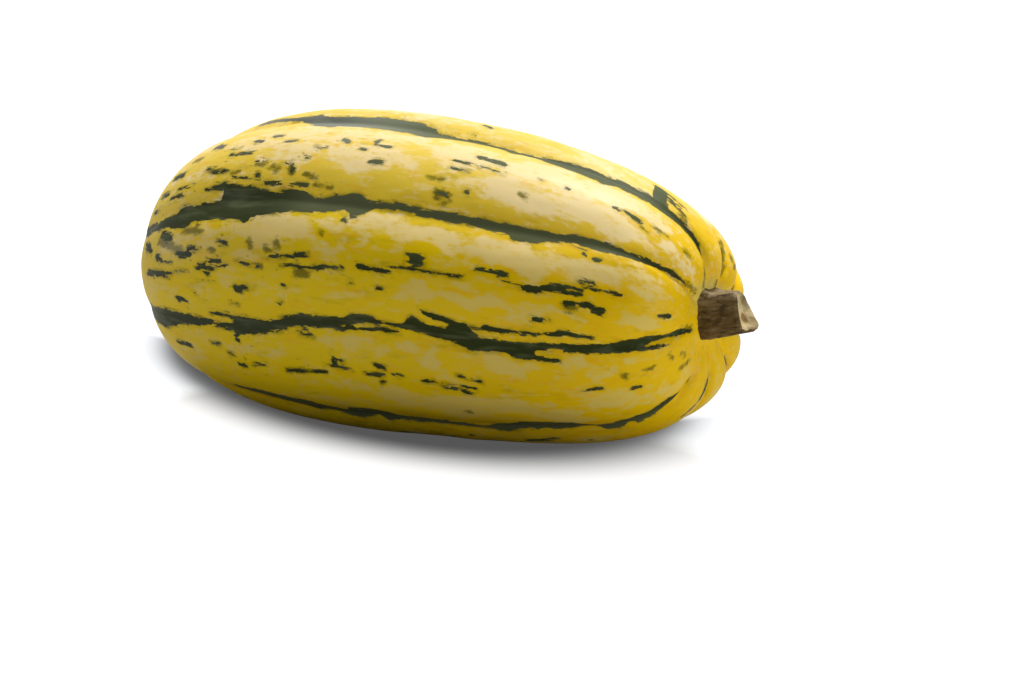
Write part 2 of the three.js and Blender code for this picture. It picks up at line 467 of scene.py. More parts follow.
# Each row is a Fleck.
FLECKS = (
    # Rib between stripes B and C.
    (38, 14, 46, 10, 2.0), (51, 17.5, 58, 15.5, 2.6), (62, 9.8, 69, 9.5, 1.4),
    (67, 11.7, 73, 11.7, 1.2), (50, 8, 54, 6.5, 2.0), (54, 6.2, 60, 6.6, 0.9),
    (43, 0.2, 52, 0.6, 1.5), (52, 1.0, 60, 2, 1.5), (61, 2.6, 68, 3.6, 0.5),
    (71, 5.3, 79, 5.6, 1.3), (75, 3.8, 77, 3.6, 0.8), (80, 6.4, 85, 7, 0.5), (76, 8, 82, 8, 1.1),
    (87, -1.2, 90, -1.2, 1.5), (90, -0.3, 92, -0.1, 0.7), (60, -8.5, 65, -8.3, 1.1),
    (69, -5, 70.5, -5, 0.7), (84, -6.8, 88, -7.2, 0.8), (103, -5, 105, -4, 0.8),
    (79.5, 15, 83.5, 14.9, 1.0), (100.5, 11.8, 109, 12, 0.9), (109, 13, 114, 13.2, 1.1),
    (88, 8.6, 97, 7.6, 0.5), (104, 8.8, 118, 9, 0.6), (115, 9.8, 126, 10.3, 0.8),
    (128, 6, 129.7, 6.2, 0.9), (137, 4.8, 139.5, 4.8, 0.9), (105, 2, 106.5, 2, 0.7),
    (146.6, 16.7, 150.4, 16.7, 3.2), (130, 12, 134, 11.2, 0.9), (134, 11.1, 142, 11.1, 0.8),
    (139, 13, 151, 13.2, 0.45), (151, 13, 164, 13.8, 0.35), (167, 17.2, 176.5, 17.4, 1.1),
    (174, 14.4, 184, 14.9, 0.5), (181, 13.8, 186, 14.6, 1.7), (185, 15, 192, 16.3, 1.5),
    (190, 15.2, 197, 16.2, 0.5), (188, 17.4, 197, 18.6, 0.4), (194.5, 21.7, 200, 22.8, 1.0),
    (197, 19.4, 207, 20.6, 0.5), (192.5, 11, 196, 11.7, 1.4), (197, 12.2, 200, 12.3, 1.5),
    (200, 10.6, 203.5, 10.5, 1.9), (218.2, 13.7, 221.4, 14, 1.3), (217.2, 13.2, 218.6, 13.4, 0.6),
    (184, 2.2, 187, 2.6, 1.4), (188.6, 3.4, 189.3, 3.4, 0.9), (145.5, 18, 151.5, 17.9, 0.8),
    (145.8, 15.6, 151.5, 15.6, 0.8),
    # Rib between stripes A and B.
    (44, 47, 52, 45.5, 2.2), (41, 38, 47, 37, 1.4), (38, 30.8, 43.5, 30.6, 0.8),
    (49.5, 34, 57, 34.5, 1.2), (58, 60, 63, 58, 2.3), (67, 54.8, 73, 54.7, 0.8),
    (69.5, 51.7, 72, 50.6, 1.2), (72, 50.8, 80.5, 51.3, 1.1), (76, 57.8, 80, 57.4, 1.4),
    (81, 60.8, 85.5, 60.6, 1.6), (88, 57, 93, 56.8, 0.7), (101, 54.5, 106, 54.5, 0.9),
    (99.5, 49.7, 102.5, 49.4, 0.7), (108.3, 60.4, 111.4, 58, 0.9), (119.8, 62, 120.3, 59, 1.3),
    (120, 58.8, 126, 58.6, 0.7), (117, 55.6, 119, 55.4, 0.6), (122.5, 50.8, 127.5, 50.8, 1.7),
    (140.5, 89, 144.5, 86.8, 1.1), (140.3, 81.5, 142.5, 80.4, 0.6), (152.5, 63, 157, 62.4, 1.2),
    (157, 63.2, 162, 62, 1.4), (147, 57.8, 156, 57.9, 0.5), (155, 57.6, 164, 57.6, 0.6),
    (148, 54, 154, 54, 0.6), (156, 45.8, 157.5, 45.2, 0.8), (147, 43.5, 151, 43, 0.6),
    (151, 42.5, 152.5, 40.8, 0.9), (173, 60.6, 175, 59.3, 0.6), (181, 61.3, 182.4, 60.6, 0.5),
    (195, 61.8, 200, 62.7, 0.8), (200, 62.5, 204, 62, 1.3), (65.5, 43.6, 73, 43.2, 1.1),
    (63, 45.3, 65.5, 44.6, 0.8), (83, 47.6, 86, 47.2, 0.7), (94, 46.8, 98, 45.8, 0.8),
    (97.4, 45.4, 98.8, 43.2, 0.9), (76, 40.6, 84, 39.7, 0.7), (85.2, 41.8, 86.6, 40.4, 1.6),
    (84, 39.8, 90, 38.8, 0.6), (89, 38.6, 97, 38.2, 1.0), (98.6, 38.7, 105.5, 38.6, 0.9),
    (52, 38, 60, 38.8, 0.5), (121.5, 27.4, 123.5, 27, 1.2), (123.5, 28.4, 126, 29, 1.2),
    (199, 96.8, 206.5, 97.4, 0.8), (200, 94.2, 205.5, 94.8, 0.7), (200.6, 91.8, 208.5, 92.6, 0.8),
    # Under stripe B, near the stem.
    (190, 37, 195, 36.6, 0.5), (194, 35.4, 195, 33.6, 0.8), (197, 34, 199.5, 34.1, 1.2),
    # Rib between stripes C and D.
    (54, -29.7, 62, -28.8, 0.9), (72.5, -24.6, 76.5, -24, 0.9), (79, -27.8, 81.5, -27.2, 0.8),
    (81.5, -31.4, 85, -31.4, 0.9), (88.5, -30.5, 94, -29.4, 0.6), (101, -30.4, 116, -28.8, 0.4),
    (108, -15.4, 113.5, -15.8, 1.1), (109.5, -13.8, 111.5, -14.2, 1.0),
    (115.5, -26.2, 125, -26.8, 0.7), (119.5, -22.6, 119.3, -26.5, 1.7),
    (120.5, -23.6, 122.5, -24.4, 0.7), (133, -24.2, 136.5, -25.2, 0.8),
    (129, -28.4, 136, -28, 0.7), (138, -27.4, 142, -27.6, 0.6), (133.5, -31.6, 135, -30.2, 0.8),
    (148, -28.7, 152, -28.4, 0.7), (153, -29.4, 164.5, -29.8, 0.5), (154, -30.8, 158.5, -31, 1.1),
    (160, -31.8, 163, -33, 1.1), (159.5, -24.8, 162.5, -25.6, 1.1), (163, -26.2, 167, -26.6, 0.9),
    (195, -29, 201, -28.6, 0.5), (208, -32.4, 211, -32.8, 0.9), (83.8, -19.6, 84.8, -21.8, 1.2),
    (147, -67.4, 149, -66.6, 0.9), (211, -81, 217, -86.4, 0.8), (217, -86.6, 224, -91.6, 1.1),
)

# Faint olive ones, in rows of the same kind.
OLIVE_FLECKS = (
    (109.5, 7.4, 115, 6.6, 2.2), (101.5, 17.2, 104, 14.6, 1.5), (58, 12.5, 66, 9.8, 1.9),
    (62, 18.6, 72, 18.4, 1.9), (115.6, 21.6, 117.4, 20.8, 1.4), (91.5, 16, 93, 14, 1.5),
    (94, 8.4, 98, 7.8, 0.8), (98, 14, 101, 13, 1.3), (192.5, 9.4, 196, 9.6, 1.1),
    (66, 25.6, 70, 18.8, 1.0), (50, 15, 60, 12.4, 2.2), (76, 12.4, 79, 11.6, 0.9),
    (52, 53.5, 57, 52.8, 1.2), (63, 45, 73, 43.2, 1.5), (75, 42.4, 78, 43.4, 1.2),
    (83, 45.4, 88, 46.2, 1.8), (89.5, 44.8, 94, 44, 1.5), (96.6, 45.4, 99, 42.6, 1.9),
    (103, 42.6, 108, 41.6, 1.1), (142.5, 48.3, 148.5, 48, 0.8), (147, 43.8, 152, 42.6, 1.9),
    (148, 41.2, 151.4, 39.8, 1.3), (171, 50.4, 174, 49.6, 0.8), (108, 39.6, 114, 38.6, 0.8),
    (101, -30.4, 116, -28.8, 0.5), (133, -33.2, 134.6, -31, 0.8), (157, -44.4, 159, -43.2, 1.2),
    # Near the stem, the olive lines along the furrows are painted shade in the creases, partly
    # brown lines of the rind.
    (206.6, -24.4, 208, -24, 0.8), (213, -23.4, 216, -22, 0.5), (220.6, -19, 221.4, -22, 0.4),
    (224.6, -27, 226, -33, 0.5), (222, -37, 226.6, -44, 0.4), (221.6, 86.6, 229.5, 76.6, 0.9),
    (222.5, 50.2, 229.5, 55, 0.7), (229.6, -2, 232, -9, 0.8), (205.4, 92.4, 209, 91.4, 1.2),
    (212.5, 123, 225.5, 120.4, 0.9), (228, 112, 229.5, 110, 1.2), (217, 130, 220, 137, 1.4),
    (219, -95.6, 225.5, -95.4, 0.6), (204, 60.6, 206, 60.2, 0.6), (206, 64.4, 211, 66, 0.5),
    (216, 68, 219, 68.4, 0.5),
)


@dataclass(frozen=True)
class Patch:
    """A soft patch of cream: its middle, its half size along and around, and its strength."""

    arc: float
    degrees: float
    half_arc: float
    half_degrees: float
    strength: float


# Each row is a Patch.
CREAM_PATCHES = (
    # Rib between stripes B and C.
    (100, 23, 14, 4.5, 1.0), (82, 19, 10, 3, 0.6), (132, 27, 16, 3.5, 0.8),
    (152, 25.5, 14, 4.5, 1.0), (176, 25, 16, 5, 1.0), (196, 28, 12, 5, 0.9),
    (112, 20.5, 6, 3, 0.5), (104, 1.5, 6, 2, 0.6), (126, 0.5, 7, 1.8, 0.6),
    (152, 5.5, 9, 3.2, 1.0), (168, 5.5, 9, 3.0, 1.0), (182, 4, 6, 5, 0.8), (192, 5.5, 4, 2, 0.7),
    (163, 10.5, 4, 1.5, 0.6), (213, 7.5, 4.5, 4, 1.0), (212, 34, 5, 5, 0.6),
    (213, 26.5, 3, 3, 0.6), (45, -7, 8, 6, 0.5), (57, 12, 5, 3, 0.7), (66, 15, 5, 2.5, 0.8),
    (75, 12.5, 4, 2, 0.7), (56, -5, 6, 3, 0.6), (70, -2, 6, 2.5, 0.6), (84, 3.5, 5, 2, 0.7),
    (93, 11, 5, 2.5, 0.7), (98, 17, 6, 3, 0.9), (120, 17, 6, 2, 0.6),
    # Rib between stripes C and D.
    (117, -15.5, 4, 1.6, 0.8), (126, -17, 6, 2.2, 0.8), (136, -19, 4, 2, 0.6),
    (144, -16.5, 3.5, 2.5, 0.7), (152, -20, 5, 3.5, 1.0), (157, -25, 4, 2.5, 0.8),
    (161, -15.5, 2.5, 1.2, 0.6), (175, -19, 6, 4, 0.9), (183, -17.5, 2, 1.5, 0.5),
    (193, -15, 5, 3, 0.8), (199, -19, 4, 3, 0.8), (203, -22, 2.5, 2.5, 0.8),
    (209, -15, 3, 2.5, 0.5), (196, -31, 8, 3, 0.4), (140, -38, 12, 6, 0.8),
    (155, -42, 10, 6, 0.9), (172, -37, 12, 6, 0.9), (186, -45, 8, 6, 0.7), (200, -37, 7, 5, 0.8),
    (207, -42, 4, 5, 0.7), (122, -34, 5, 3, 0.7), (85, -24, 6, 2.5, 0.6), (66, -25, 6, 3, 0.5),
    (97, -23.5, 5, 2.5, 0.6), (60, -33, 6, 4, 0.5), (110, -44, 6, 4, 0.5), (217, -47, 4, 6, 0.7),
    (223, -52, 3, 6, 0.6),
    # Rib between stripes A and B, and the rib behind stripe A.
    (71, 33.5, 3.5, 2, 0.9), (60, 42, 6, 3, 0.6), (74, 55, 7, 3, 0.7), (88, 50, 5, 2, 0.7),
    (98, 48, 5, 2.5, 0.8), (52, 60, 6, 4, 0.5), (80, 60, 14, 8, 0.6), (100, 63, 16, 9, 0.7),
    (125, 66, 14, 6, 0.8), (95, 52, 10, 3, 0.7), (120, 54, 14, 5, 0.8), (150, 62, 14, 8, 0.8),
    (175, 66, 16, 8, 1.0), (175, 52, 16, 6, 0.9), (195, 54, 14, 7, 0.9), (192, 70, 12, 6, 1.0),
    (205, 72, 8, 5, 0.7), (214, 60, 3.5, 4, 0.8), (222, 60, 4, 5, 0.5), (160, 48, 12, 3, 0.5),
    (120, 88, 30, 4, 0.5), (180, 91, 15, 5, 0.6),
)


@dataclass
class Markings:
    """The markings of the rind, as fields over its skin."""

    shape: FruitShape
    far: float = 8.0
    pointed: float = 0.35
    soft: float = 0.1
    seed: int = 7
    hidden_furrows: tuple[int, ...] = (0, 1, 2, 7, 8, 9)
    hidden_ribs: tuple[tuple[float, float], ...] = (
        (-156, -126), (-126, -91), (-91, -64), (104, 140), (140, 172), (172, 204),
    )

    # Stripes of the hidden side. Arcs are in millimetres, widths and lean in degrees.
    stripe_ends: tuple[float, float] = (28.0, 12.0)
    stripe_step: float = 4.0
    stripe_width: Draw = Draw(0.8, 0.8)
    stripe_swelling: float = 5.0
    swelling_edge: tuple[float, float] = (0.38, 0.75)
    stripe_thinning: float = 0.75
    thinning_edge: tuple[float, float] = (0.72, 0.9)
    stripe_lean: float = 3.0

    # Dashes of the hidden side, some of them with a shorter one a step aside.
    dash_rows: int = 3
    row_margins: tuple[float, float] = (8.0, 7.0)
    dash_start: Draw = Draw(30.0, 20.0)
    dash_stop: float = 205.0
    dash_length: Draw = Draw(1.0, 10.0, 2.0)
    dash_drift: Draw = Draw(-1.5, 3.0)
    dash_offset: Draw = Draw(-3.0, 6.0)
    dash_width: Draw = Draw(0.4, 1.5, 1.5)
    drift_share: float = 0.3
    stepped_share: float = 0.4
    step_place: Draw = Draw(0.3, 0.6)
    step_size: float = 0.7
    dash_gap: tuple[float, float, float] = (3.0, 6.0, 0.16)

    # Patches of cream on the hidden side.
    patches_per_rib: int = 16
    patch_arc: Draw = Draw(60.0, 150.0)
    patch_place: Draw = Draw(0.2, 0.6)
    patch_size: Draw = Draw(4.0, 9.0)
    patch_strength: Draw = Draw(0.5, 0.5)
    patch_turn: tuple[float, float] = (2.0, 0.35)
    stripes: list[Stripe] = field(default_factory=lambda: list(MAIN_STRIPES))
    flecks: list[Fleck] = field(default_factory=lambda: [Fleck(*row) for row in FLECKS])
    olives: list[Fleck] = field(default_factory=lambda: [Fleck(*row) for row in OLIVE_FLECKS])
    patches: list[Patch] = field(default_factory=lambda: [Patch(*row) for row in CREAM_PATCHES])

    def grow_hidden_side(self) -> None:
        """Adds stripes in the furrows of the other side and flecks on its ribs."""
        chance = np.random.default_rng(self.seed)
        for index in self.hidden_furrows:
            self.stripes.append(self._grown_stripe(index, chance))
        for low, high in self.hidden_ribs:
            self.flecks += self._grown_flecks(low, high, chance)
            self.patches += self._grown_patches(low, high, chance)

    def _grown_stripe(self, index: int, chance: np.random.Generator) -> Stripe:
        """Grows a stripe along a furrow, wide in some stretches and thin in others.

        Args:
            index: Which furrow.
            chance: Source of the random draws.

        Returns:
            The new stripe.
        """
        start, gap = self.stripe_ends
        arcs = np.arange(start, self.shape.length - gap, self.stripe_step)
        middle = self.shape.furrow_angles(self.shape.along(arcs))[:, index]
        swelling = running_mean(chance.random(len(arcs) + 4), 5)
        widths = self.stripe_swelling * smooth_step(*self.swelling_edge, swelling)
        widths = widths + self.stripe_width.take(chance, len(arcs))
        thinning = smooth_step(*self.thinning_edge, arcs / self.shape.length)
        widths = widths * (1.0 - self.stripe_thinning * thinning)
        lean = self.stripe_lean * running_mean(chance.random(len(arcs) + 2) - 0.5, 3)
        stations = tuple(
            (float(arc), float(mid + off + width), float(mid + off - width))
            for arc, mid, off, width in zip(arcs, middle, lean, widths)
        )
        return Stripe(stations)

    def _grown_flecks(self, low: float, high: float, chance: np.random.Generator) -> list[Fleck]:
        """Scatters dashes over one rib, in a few loose rows.

        Args:
            low: Angle of one of its furrows.
            high: Angle of the other.
            chance: Source of the random draws.

        Returns:
            The new dashes.
        """
        grown: list[Fleck] = []
        least_gap, more_gap, gap_growth = self.dash_gap
        margins = self.row_margins
        for row in np.linspace(low + margins[0], high - margins[1], self.dash_rows):
            arc = self.dash_start.take(chance)
            while arc < self.dash_stop:
                size = self.dash_length.take(chance)
                drift = self.dash_drift.take(chance)
                degrees = row + self.dash_offset.take(chance)
                width = self.dash_width.take(chance)
                turned = self.drift_share * drift
                grown.append(Fleck(arc, degrees, arc + size, degrees + turned, width))
                if chance.random() < self.stepped_share:
                    step = degrees + math.copysign(width, drift)
                    start = arc + size * self.step_place.take(chance)
                    end = start + self.step_size * size
                    grown.append(Fleck(start, step, end, step + turned, self.step_size * width))
                arc += size + least_gap + (more_gap + gap_growth * arc) * chance.random()
        return grown

    def _grown_patches(self, low: float, high: float, chance: np.random.Generator) -> list[Patch]:
        """Scatters cream patches over one rib.

        Args:
            low: Angle of one of its furrows.
            high: Angle of the other.
            chance: Source of the random draws.

        Returns:
            The new patches.
        """
        count = self.patches_per_rib
        arcs = self.patch_arc.take(chance, count)
        across = low + (high - low) * self.patch_place.take(chance, count)
        sizes = self.patch_size.take(chance, count)
        strengths = self.patch_strength.take(chance, count)
        turns = self.patch_turn[0] + self.patch_turn[1] * sizes
        rows = np.stack([arcs, across, sizes, turns, strengths], axis=-1)
        return [Patch(*row) for row in rows.tolist()]

    def green(self, arc: np.ndarray, degrees: np.ndarray) -> np.ndarray:
        """Distance to the edge of the nearest dark green marking.

        Args:
            arc: Arcs from the blossom end.
            degrees: Angles round the fruit.

        Returns:
            Millimetres, above 0 inside a marking and below 0 outside.
        """
        per_degree = np.radians(self.shape.radius_at(arc))
        inside = self._nearest(self.flecks, arc, degrees, per_degree)
        for stripe in self.stripes:
            inside = np.maximum(inside, self._stripe_distance(stripe, arc, degrees, per_degree))
        return inside

    def olive(self, arc: np.ndarray, degrees: np.ndarray) -> np.ndarray:
        """The same distance for the faint olive markings."""
        return self._nearest(self.olives, arc, degrees, np.radians(self.shape.radius_at(arc)))

    def cream(self, arc: np.ndarray, degrees: np.ndarray) -> np.ndarray:
        """How far the rind is cream, before its node pattern breaks it up.

        Args:
            arc: Arcs from the blossom end.
            degrees: Angles round the fruit.

        Returns:
            From 0 to 1.
        """
        total = np.zeros_like(arc)
        for patch in self.patches:
            away = np.hypot(
                (arc - patch.arc) / patch.half_arc,
                turn_from(degrees, patch.degrees) / patch.half_degrees,
            )
            total = np.maximum(total, patch.strength * smooth_step(1.5, 0.5, away))
        return total

    def _nearest(
        self, flecks: list[Fleck], arc: np.ndarray, degrees: np.ndarray, per_degree: np.ndarray
    ) -> np.ndarray:
        """Signed distance to the nearest edge of a set of dashes.

        Args:
            flecks: The dashes.
            arc: Arcs from the blossom end.
            degrees: Angles round the fruit.
            per_degree: Millimetres for each degree at those arcs.

        Returns:
            Millimetres, above 0 inside a dash and never below the far limit.
        """
        inside = np.full_like(arc, -self.far)
        for fleck in flecks:
            close = (arc > fleck.arc - self.far) & (arc < fleck.arc_end + self.far)
            near = np.flatnonzero(close)
            depth = self._fleck_distance(fleck, arc[near], degrees[near], per_degree[near])
            inside[near] = np.maximum(inside[near], depth)
        return inside

    def _stripe_distance(
        self, stripe: Stripe, arc: np.ndarray, degrees: np.ndarray, per_degree: np.ndarray
    ) -> np.ndarray:
        """Signed distance to the edge of one stripe.

        Args:
            stripe: The stripe.
            arc: Arcs from the blossom end.
            degrees: Angles round the fruit.
            per_degree: Millimetres for each degree at those arcs.

        Returns:
            Millimetres, above 0 inside the stripe.
        """
        stations = np.array(stripe.stations)
        high = np.interp(arc, stations[:, 0], stations[:, 1])
        low = np.interp(arc, stations[:, 0], stations[:, 2])
        offset = turn_from(degrees, (high + low) / 2)
        across = ((high - low) / 2 - np.abs(offset)) * per_degree
        ends = np.minimum(arc - stations[0, 0], stations[-1, 0] - arc)
        return np.minimum(across, ends)

    def _fleck_distance(
        self, fleck: Fleck, arc: np.ndarray, degrees: np.ndarray, per_degree: np.ndarray
    ) -> np.ndarray:
        """Signed distance to the edge of one dash with blunt ends.

        Args:
            fleck: The dash.
            arc: Arcs from the blossom end.
            degrees: Angles round the fruit.
            per_degree: Millimetres for each degree at those arcs.

        Returns:
            Millimetres, above 0 inside the dash.
        """
        run = fleck.arc_end - fleck.arc
        rise = (fleck.degrees_end - fleck.degrees) * per_degree
        length = np.hypot(run, rise)
        along = arc - fleck.arc
        around = turn_from(degrees, fleck.degrees) * per_degree
        ahead = (along * run + around * rise) / length
        aside = np.abs(along * rise - around * run) / length
        taper = 1.0 - self.pointed * smooth_step(0.25, 0.5, np.abs(ahead / length - 0.5))
        sides = aside - (0.5 * fleck.width + self.soft) * taper
        ends = np.abs(ahead - 0.5 * length) - 0.5 * length - self.soft
        outside = np.hypot(np.maximum(sides, 0.0), np.maximum(ends, 0.0))
        return -np.where(outside > 0.0, outside, np.maximum(sides, ends))


# --------------------------------------------------------------------------------------
# Shader building
# --------------------------------------------------------------------------------------

Socket = bpy.types.NodeSocket
Colour = tuple[float, ...]
Value = Socket | float | tuple[float, ...]


@dataclass
class Graph:
    """A node tree under construction."""

    tree: bpy.types.NodeTree

    def node(
        self, kind: str, inputs: dict[str | int, Value] | None = None, **settings: object
    ) -> bpy.types.Node:
        """Adds a node.

        Args:
            kind: Its type.
            inputs: What goes into its sockets, each by name or number.
            settings: Properties to set on it.

        Returns:
            The new node.
        """
        made = self.tree.nodes.new(kind)
        for name, value in settings.items():
            setattr(made, name, value)
        for key, value in (inputs or {}).items():
            self.feed(made.inputs[key], value)
        return made

    def feed(self, socket: Socket, value: Value) -> None:
        """Links a socket, or sets its constant.

        Args:
            socket: The input.
            value: What goes into it.
        """
        if isinstance(value, bpy.types.NodeSocket):
            self.tree.links.new(value, socket)
        else:
            socket.default_value = value

    def math(self, operation: str, *values: Value) -> Socket:
        """One step of arithmetic on values."""
        return self.node("ShaderNodeMath", dict(enumerate(values)), operation=operation).outputs[0]

    def vector(self, operation: str, *values: Value) -> bpy.types.Node:
        """One step of arithmetic on vectors."""
        return self.node("ShaderNodeVectorMath", dict(enumerate(values)), operation=operation)

    def product(self, first: Value, *others: Value) -> Socket:
        """Multiplies values.

        Args:
            first: The first of them.
            others: The rest.

        Returns:
            Their product.
        """
        for other in others:
            first = self.math("MULTIPLY", first, other)
        return first

    def mix(self, share: Value, first: Value, second: Value) -> Socket:
        """Mixes two colours.

        Args:
            share: Share of the second, 0 to 1.
            first: The colour at 0.
            second: The colour at 1.

        Returns:
            The mixed colour.
        """
        inputs = {0: share, 6: first, 7: second}
        return self.node("ShaderNodeMix", inputs, data_type="RGBA").outputs[2]

    def attribute(self, name: str, output: str = "Fac") -> Socket:
        """Reads a value, or a vector, that the mesh holds."""
        return self.node("ShaderNodeAttribute", attribute_name=name).outputs[output]

    def bump(self, height: Socket, strength: float, distance: float) -> Socket:
        """Roughens a surface.

        Args:
            height: Height over the surface, where 1 is the distance.
            strength: How much of it shows.
            distance: In metres.

        Returns:
            The normal of the roughened surface.
        """
        inputs = {"Strength": strength, "Distance": distance, "Height": height}
        return self.node("ShaderNodeBump", inputs).outputs[0]


def new_material(name: str) -> tuple[bpy.types.Material, Graph, bpy.types.Node]:
    """Makes a material.

    Args:
        name: Its name.

    Returns:
        The material, its graph and its Principled shader.
    """
    material = bpy.data.materials.new(name)
    material.use_nodes = True
    return material, Graph(material.node_tree), material.node_tree.nodes["Principled BSDF"]


WANDER = 0.9          # how far a block's edges wander, in blocks
WANDER_SCALE = 0.7    # how often they do, per block


def blocky_group() -> bpy.types.ShaderNodeTree:
    """Group: stretched blocks of random value, the grain of the fruit's markings.

    Returns:
        A group that takes a vector, the block's length and width and a shift, and puts out
        a value from 0 to 1.
    """
    tree = bpy.data.node_groups.new("stretched_blocks", "ShaderNodeTree")
    tree.interface.new_socket("Vector", in_out="INPUT", socket_type="NodeSocketVector")
    for name in ("Length", "Width", "Shift"):
        tree.interface.new_socket(name, in_out="INPUT", socket_type="NodeSocketFloat")
    tree.interface.new_socket("Value", in_out="OUTPUT", socket_type="NodeSocketFloat")
    graph = Graph(tree)
    inside = graph.node("NodeGroupInput").outputs
    length, width = inside["Length"], inside["Width"]
    size = graph.node("ShaderNodeCombineXYZ", {0: length, 1: width, 2: width}).outputs[0]
    divided = graph.vector("DIVIDE", inside["Vector"], size).outputs[0]
    noise_inputs = {"Vector": divided, "Scale": WANDER_SCALE, "Detail": 1.0}
    wander = graph.node("ShaderNodeTexNoise", noise_inputs).outputs["Color"]
    bent = graph.vector("MULTIPLY_ADD", wander, (WANDER,) * 3, divided).outputs[0]
    shifted = graph.vector("ADD", bent, inside["Shift"]).outputs[0]
    cells = {"Vector": shifted, "Scale": 1.0}
    cell = graph.node("ShaderNodeTexVoronoi", cells, distance="CHEBYCHEV").outputs["Color"]
    value = graph.node("ShaderNodeSeparateColor", {0: cell}).outputs[0]
    graph.node("NodeGroupOutput", {"Value": value})
    return tree


@dataclass
class Surface:
    """A material under construction, with the group and the places that its steps share."""

    graph: Graph
    blocks: bpy.types.ShaderNodeTree
    skin: Socket
    arc: Socket = field(init=False)
    height: Socket = field(init=False)

    def __post_init__(self) -> None:
        """Splits the place on the skin into its arc and its height over the axis."""
        split = self.graph.node("ShaderNodeSeparateXYZ", {0: self.skin})
        self.arc, self.height = split.outputs[0], split.outputs[2]


@dataclass(frozen=True)
class Grain:
    """Cloudy noise: cycles per millimetre along and across, a shift of its own and its detail."""

    along: float
    across: float
    shift: float
    detail: float = 2.0
    roughness: float = 0.5

    def on(self, surface: Surface) -> Socket:
        """Lays the noise on a surface.

        Args:
            surface: The material.

        Returns:
            A value round 0.5, from 0 to 1.
        """
        mapping = {
            "Vector": surface.skin,
            "Scale": (self.along, self.across, self.across),
            "Location": (self.shift, self.shift * 0.7, -self.shift),
        }
        place = surface.graph.node("ShaderNodeMapping", mapping).outputs["Vector"]
        inputs = {"Vector": place, "Scale": 1.0, "Detail": self.detail, "Roughness": self.roughness}
        return surface.graph.node("ShaderNodeTexNoise", inputs).outputs["Fac"]


@dataclass(frozen=True)
class Blocks:
    """Stretched blocks: their length and width in millimetres, and a shift of their own."""

    length: float
    width: float
    shift: float

    def on(self, surface: Surface) -> Socket:
        """Lays the blocks on a surface.

        Args:
            surface: The material.

        Returns:
            A value from 0 to 1, the same all over a block.
        """
        sizes = {"Length": self.length, "Width": self.width, "Shift": self.shift}
        inputs = {"Vector": surface.skin, **sizes}
        group = surface.graph.node("ShaderNodeGroup", inputs, node_tree=surface.blocks)
        return group.outputs["Value"]


@dataclass(frozen=True)
class Fade:
    """A smooth change from start to end while another value goes from low to high."""

    low: float
    high: float
    start: float = 0.0
    end: float = 1.0

    def of(self, graph: Graph, value: Socket) -> Socket:
        """Makes the change follow a value.

        Args:
            graph: The graph that it is in.
            value: What it follows.

        Returns:
            The changing value.
        """
        inputs = {
            "Value": value, "From Min": self.low, "From Max": self.high,
            "To Min": self.start, "To Max": self.end,
        }
        made = graph.node("ShaderNodeMapRange", inputs, interpolation_type="SMOOTHSTEP")
        return made.outputs["Result"]


@dataclass(frozen=True)
class Mosaic:
    """What makes the rind cream rather than yellow, and how much each counts."""

    start: float = -1.58
    patches: float = 0.66
    cloud: float = 1.10
    large: float = 0.20
    small: float = 0.20
    streak: float = 0.46
    mottle: float = 0.92


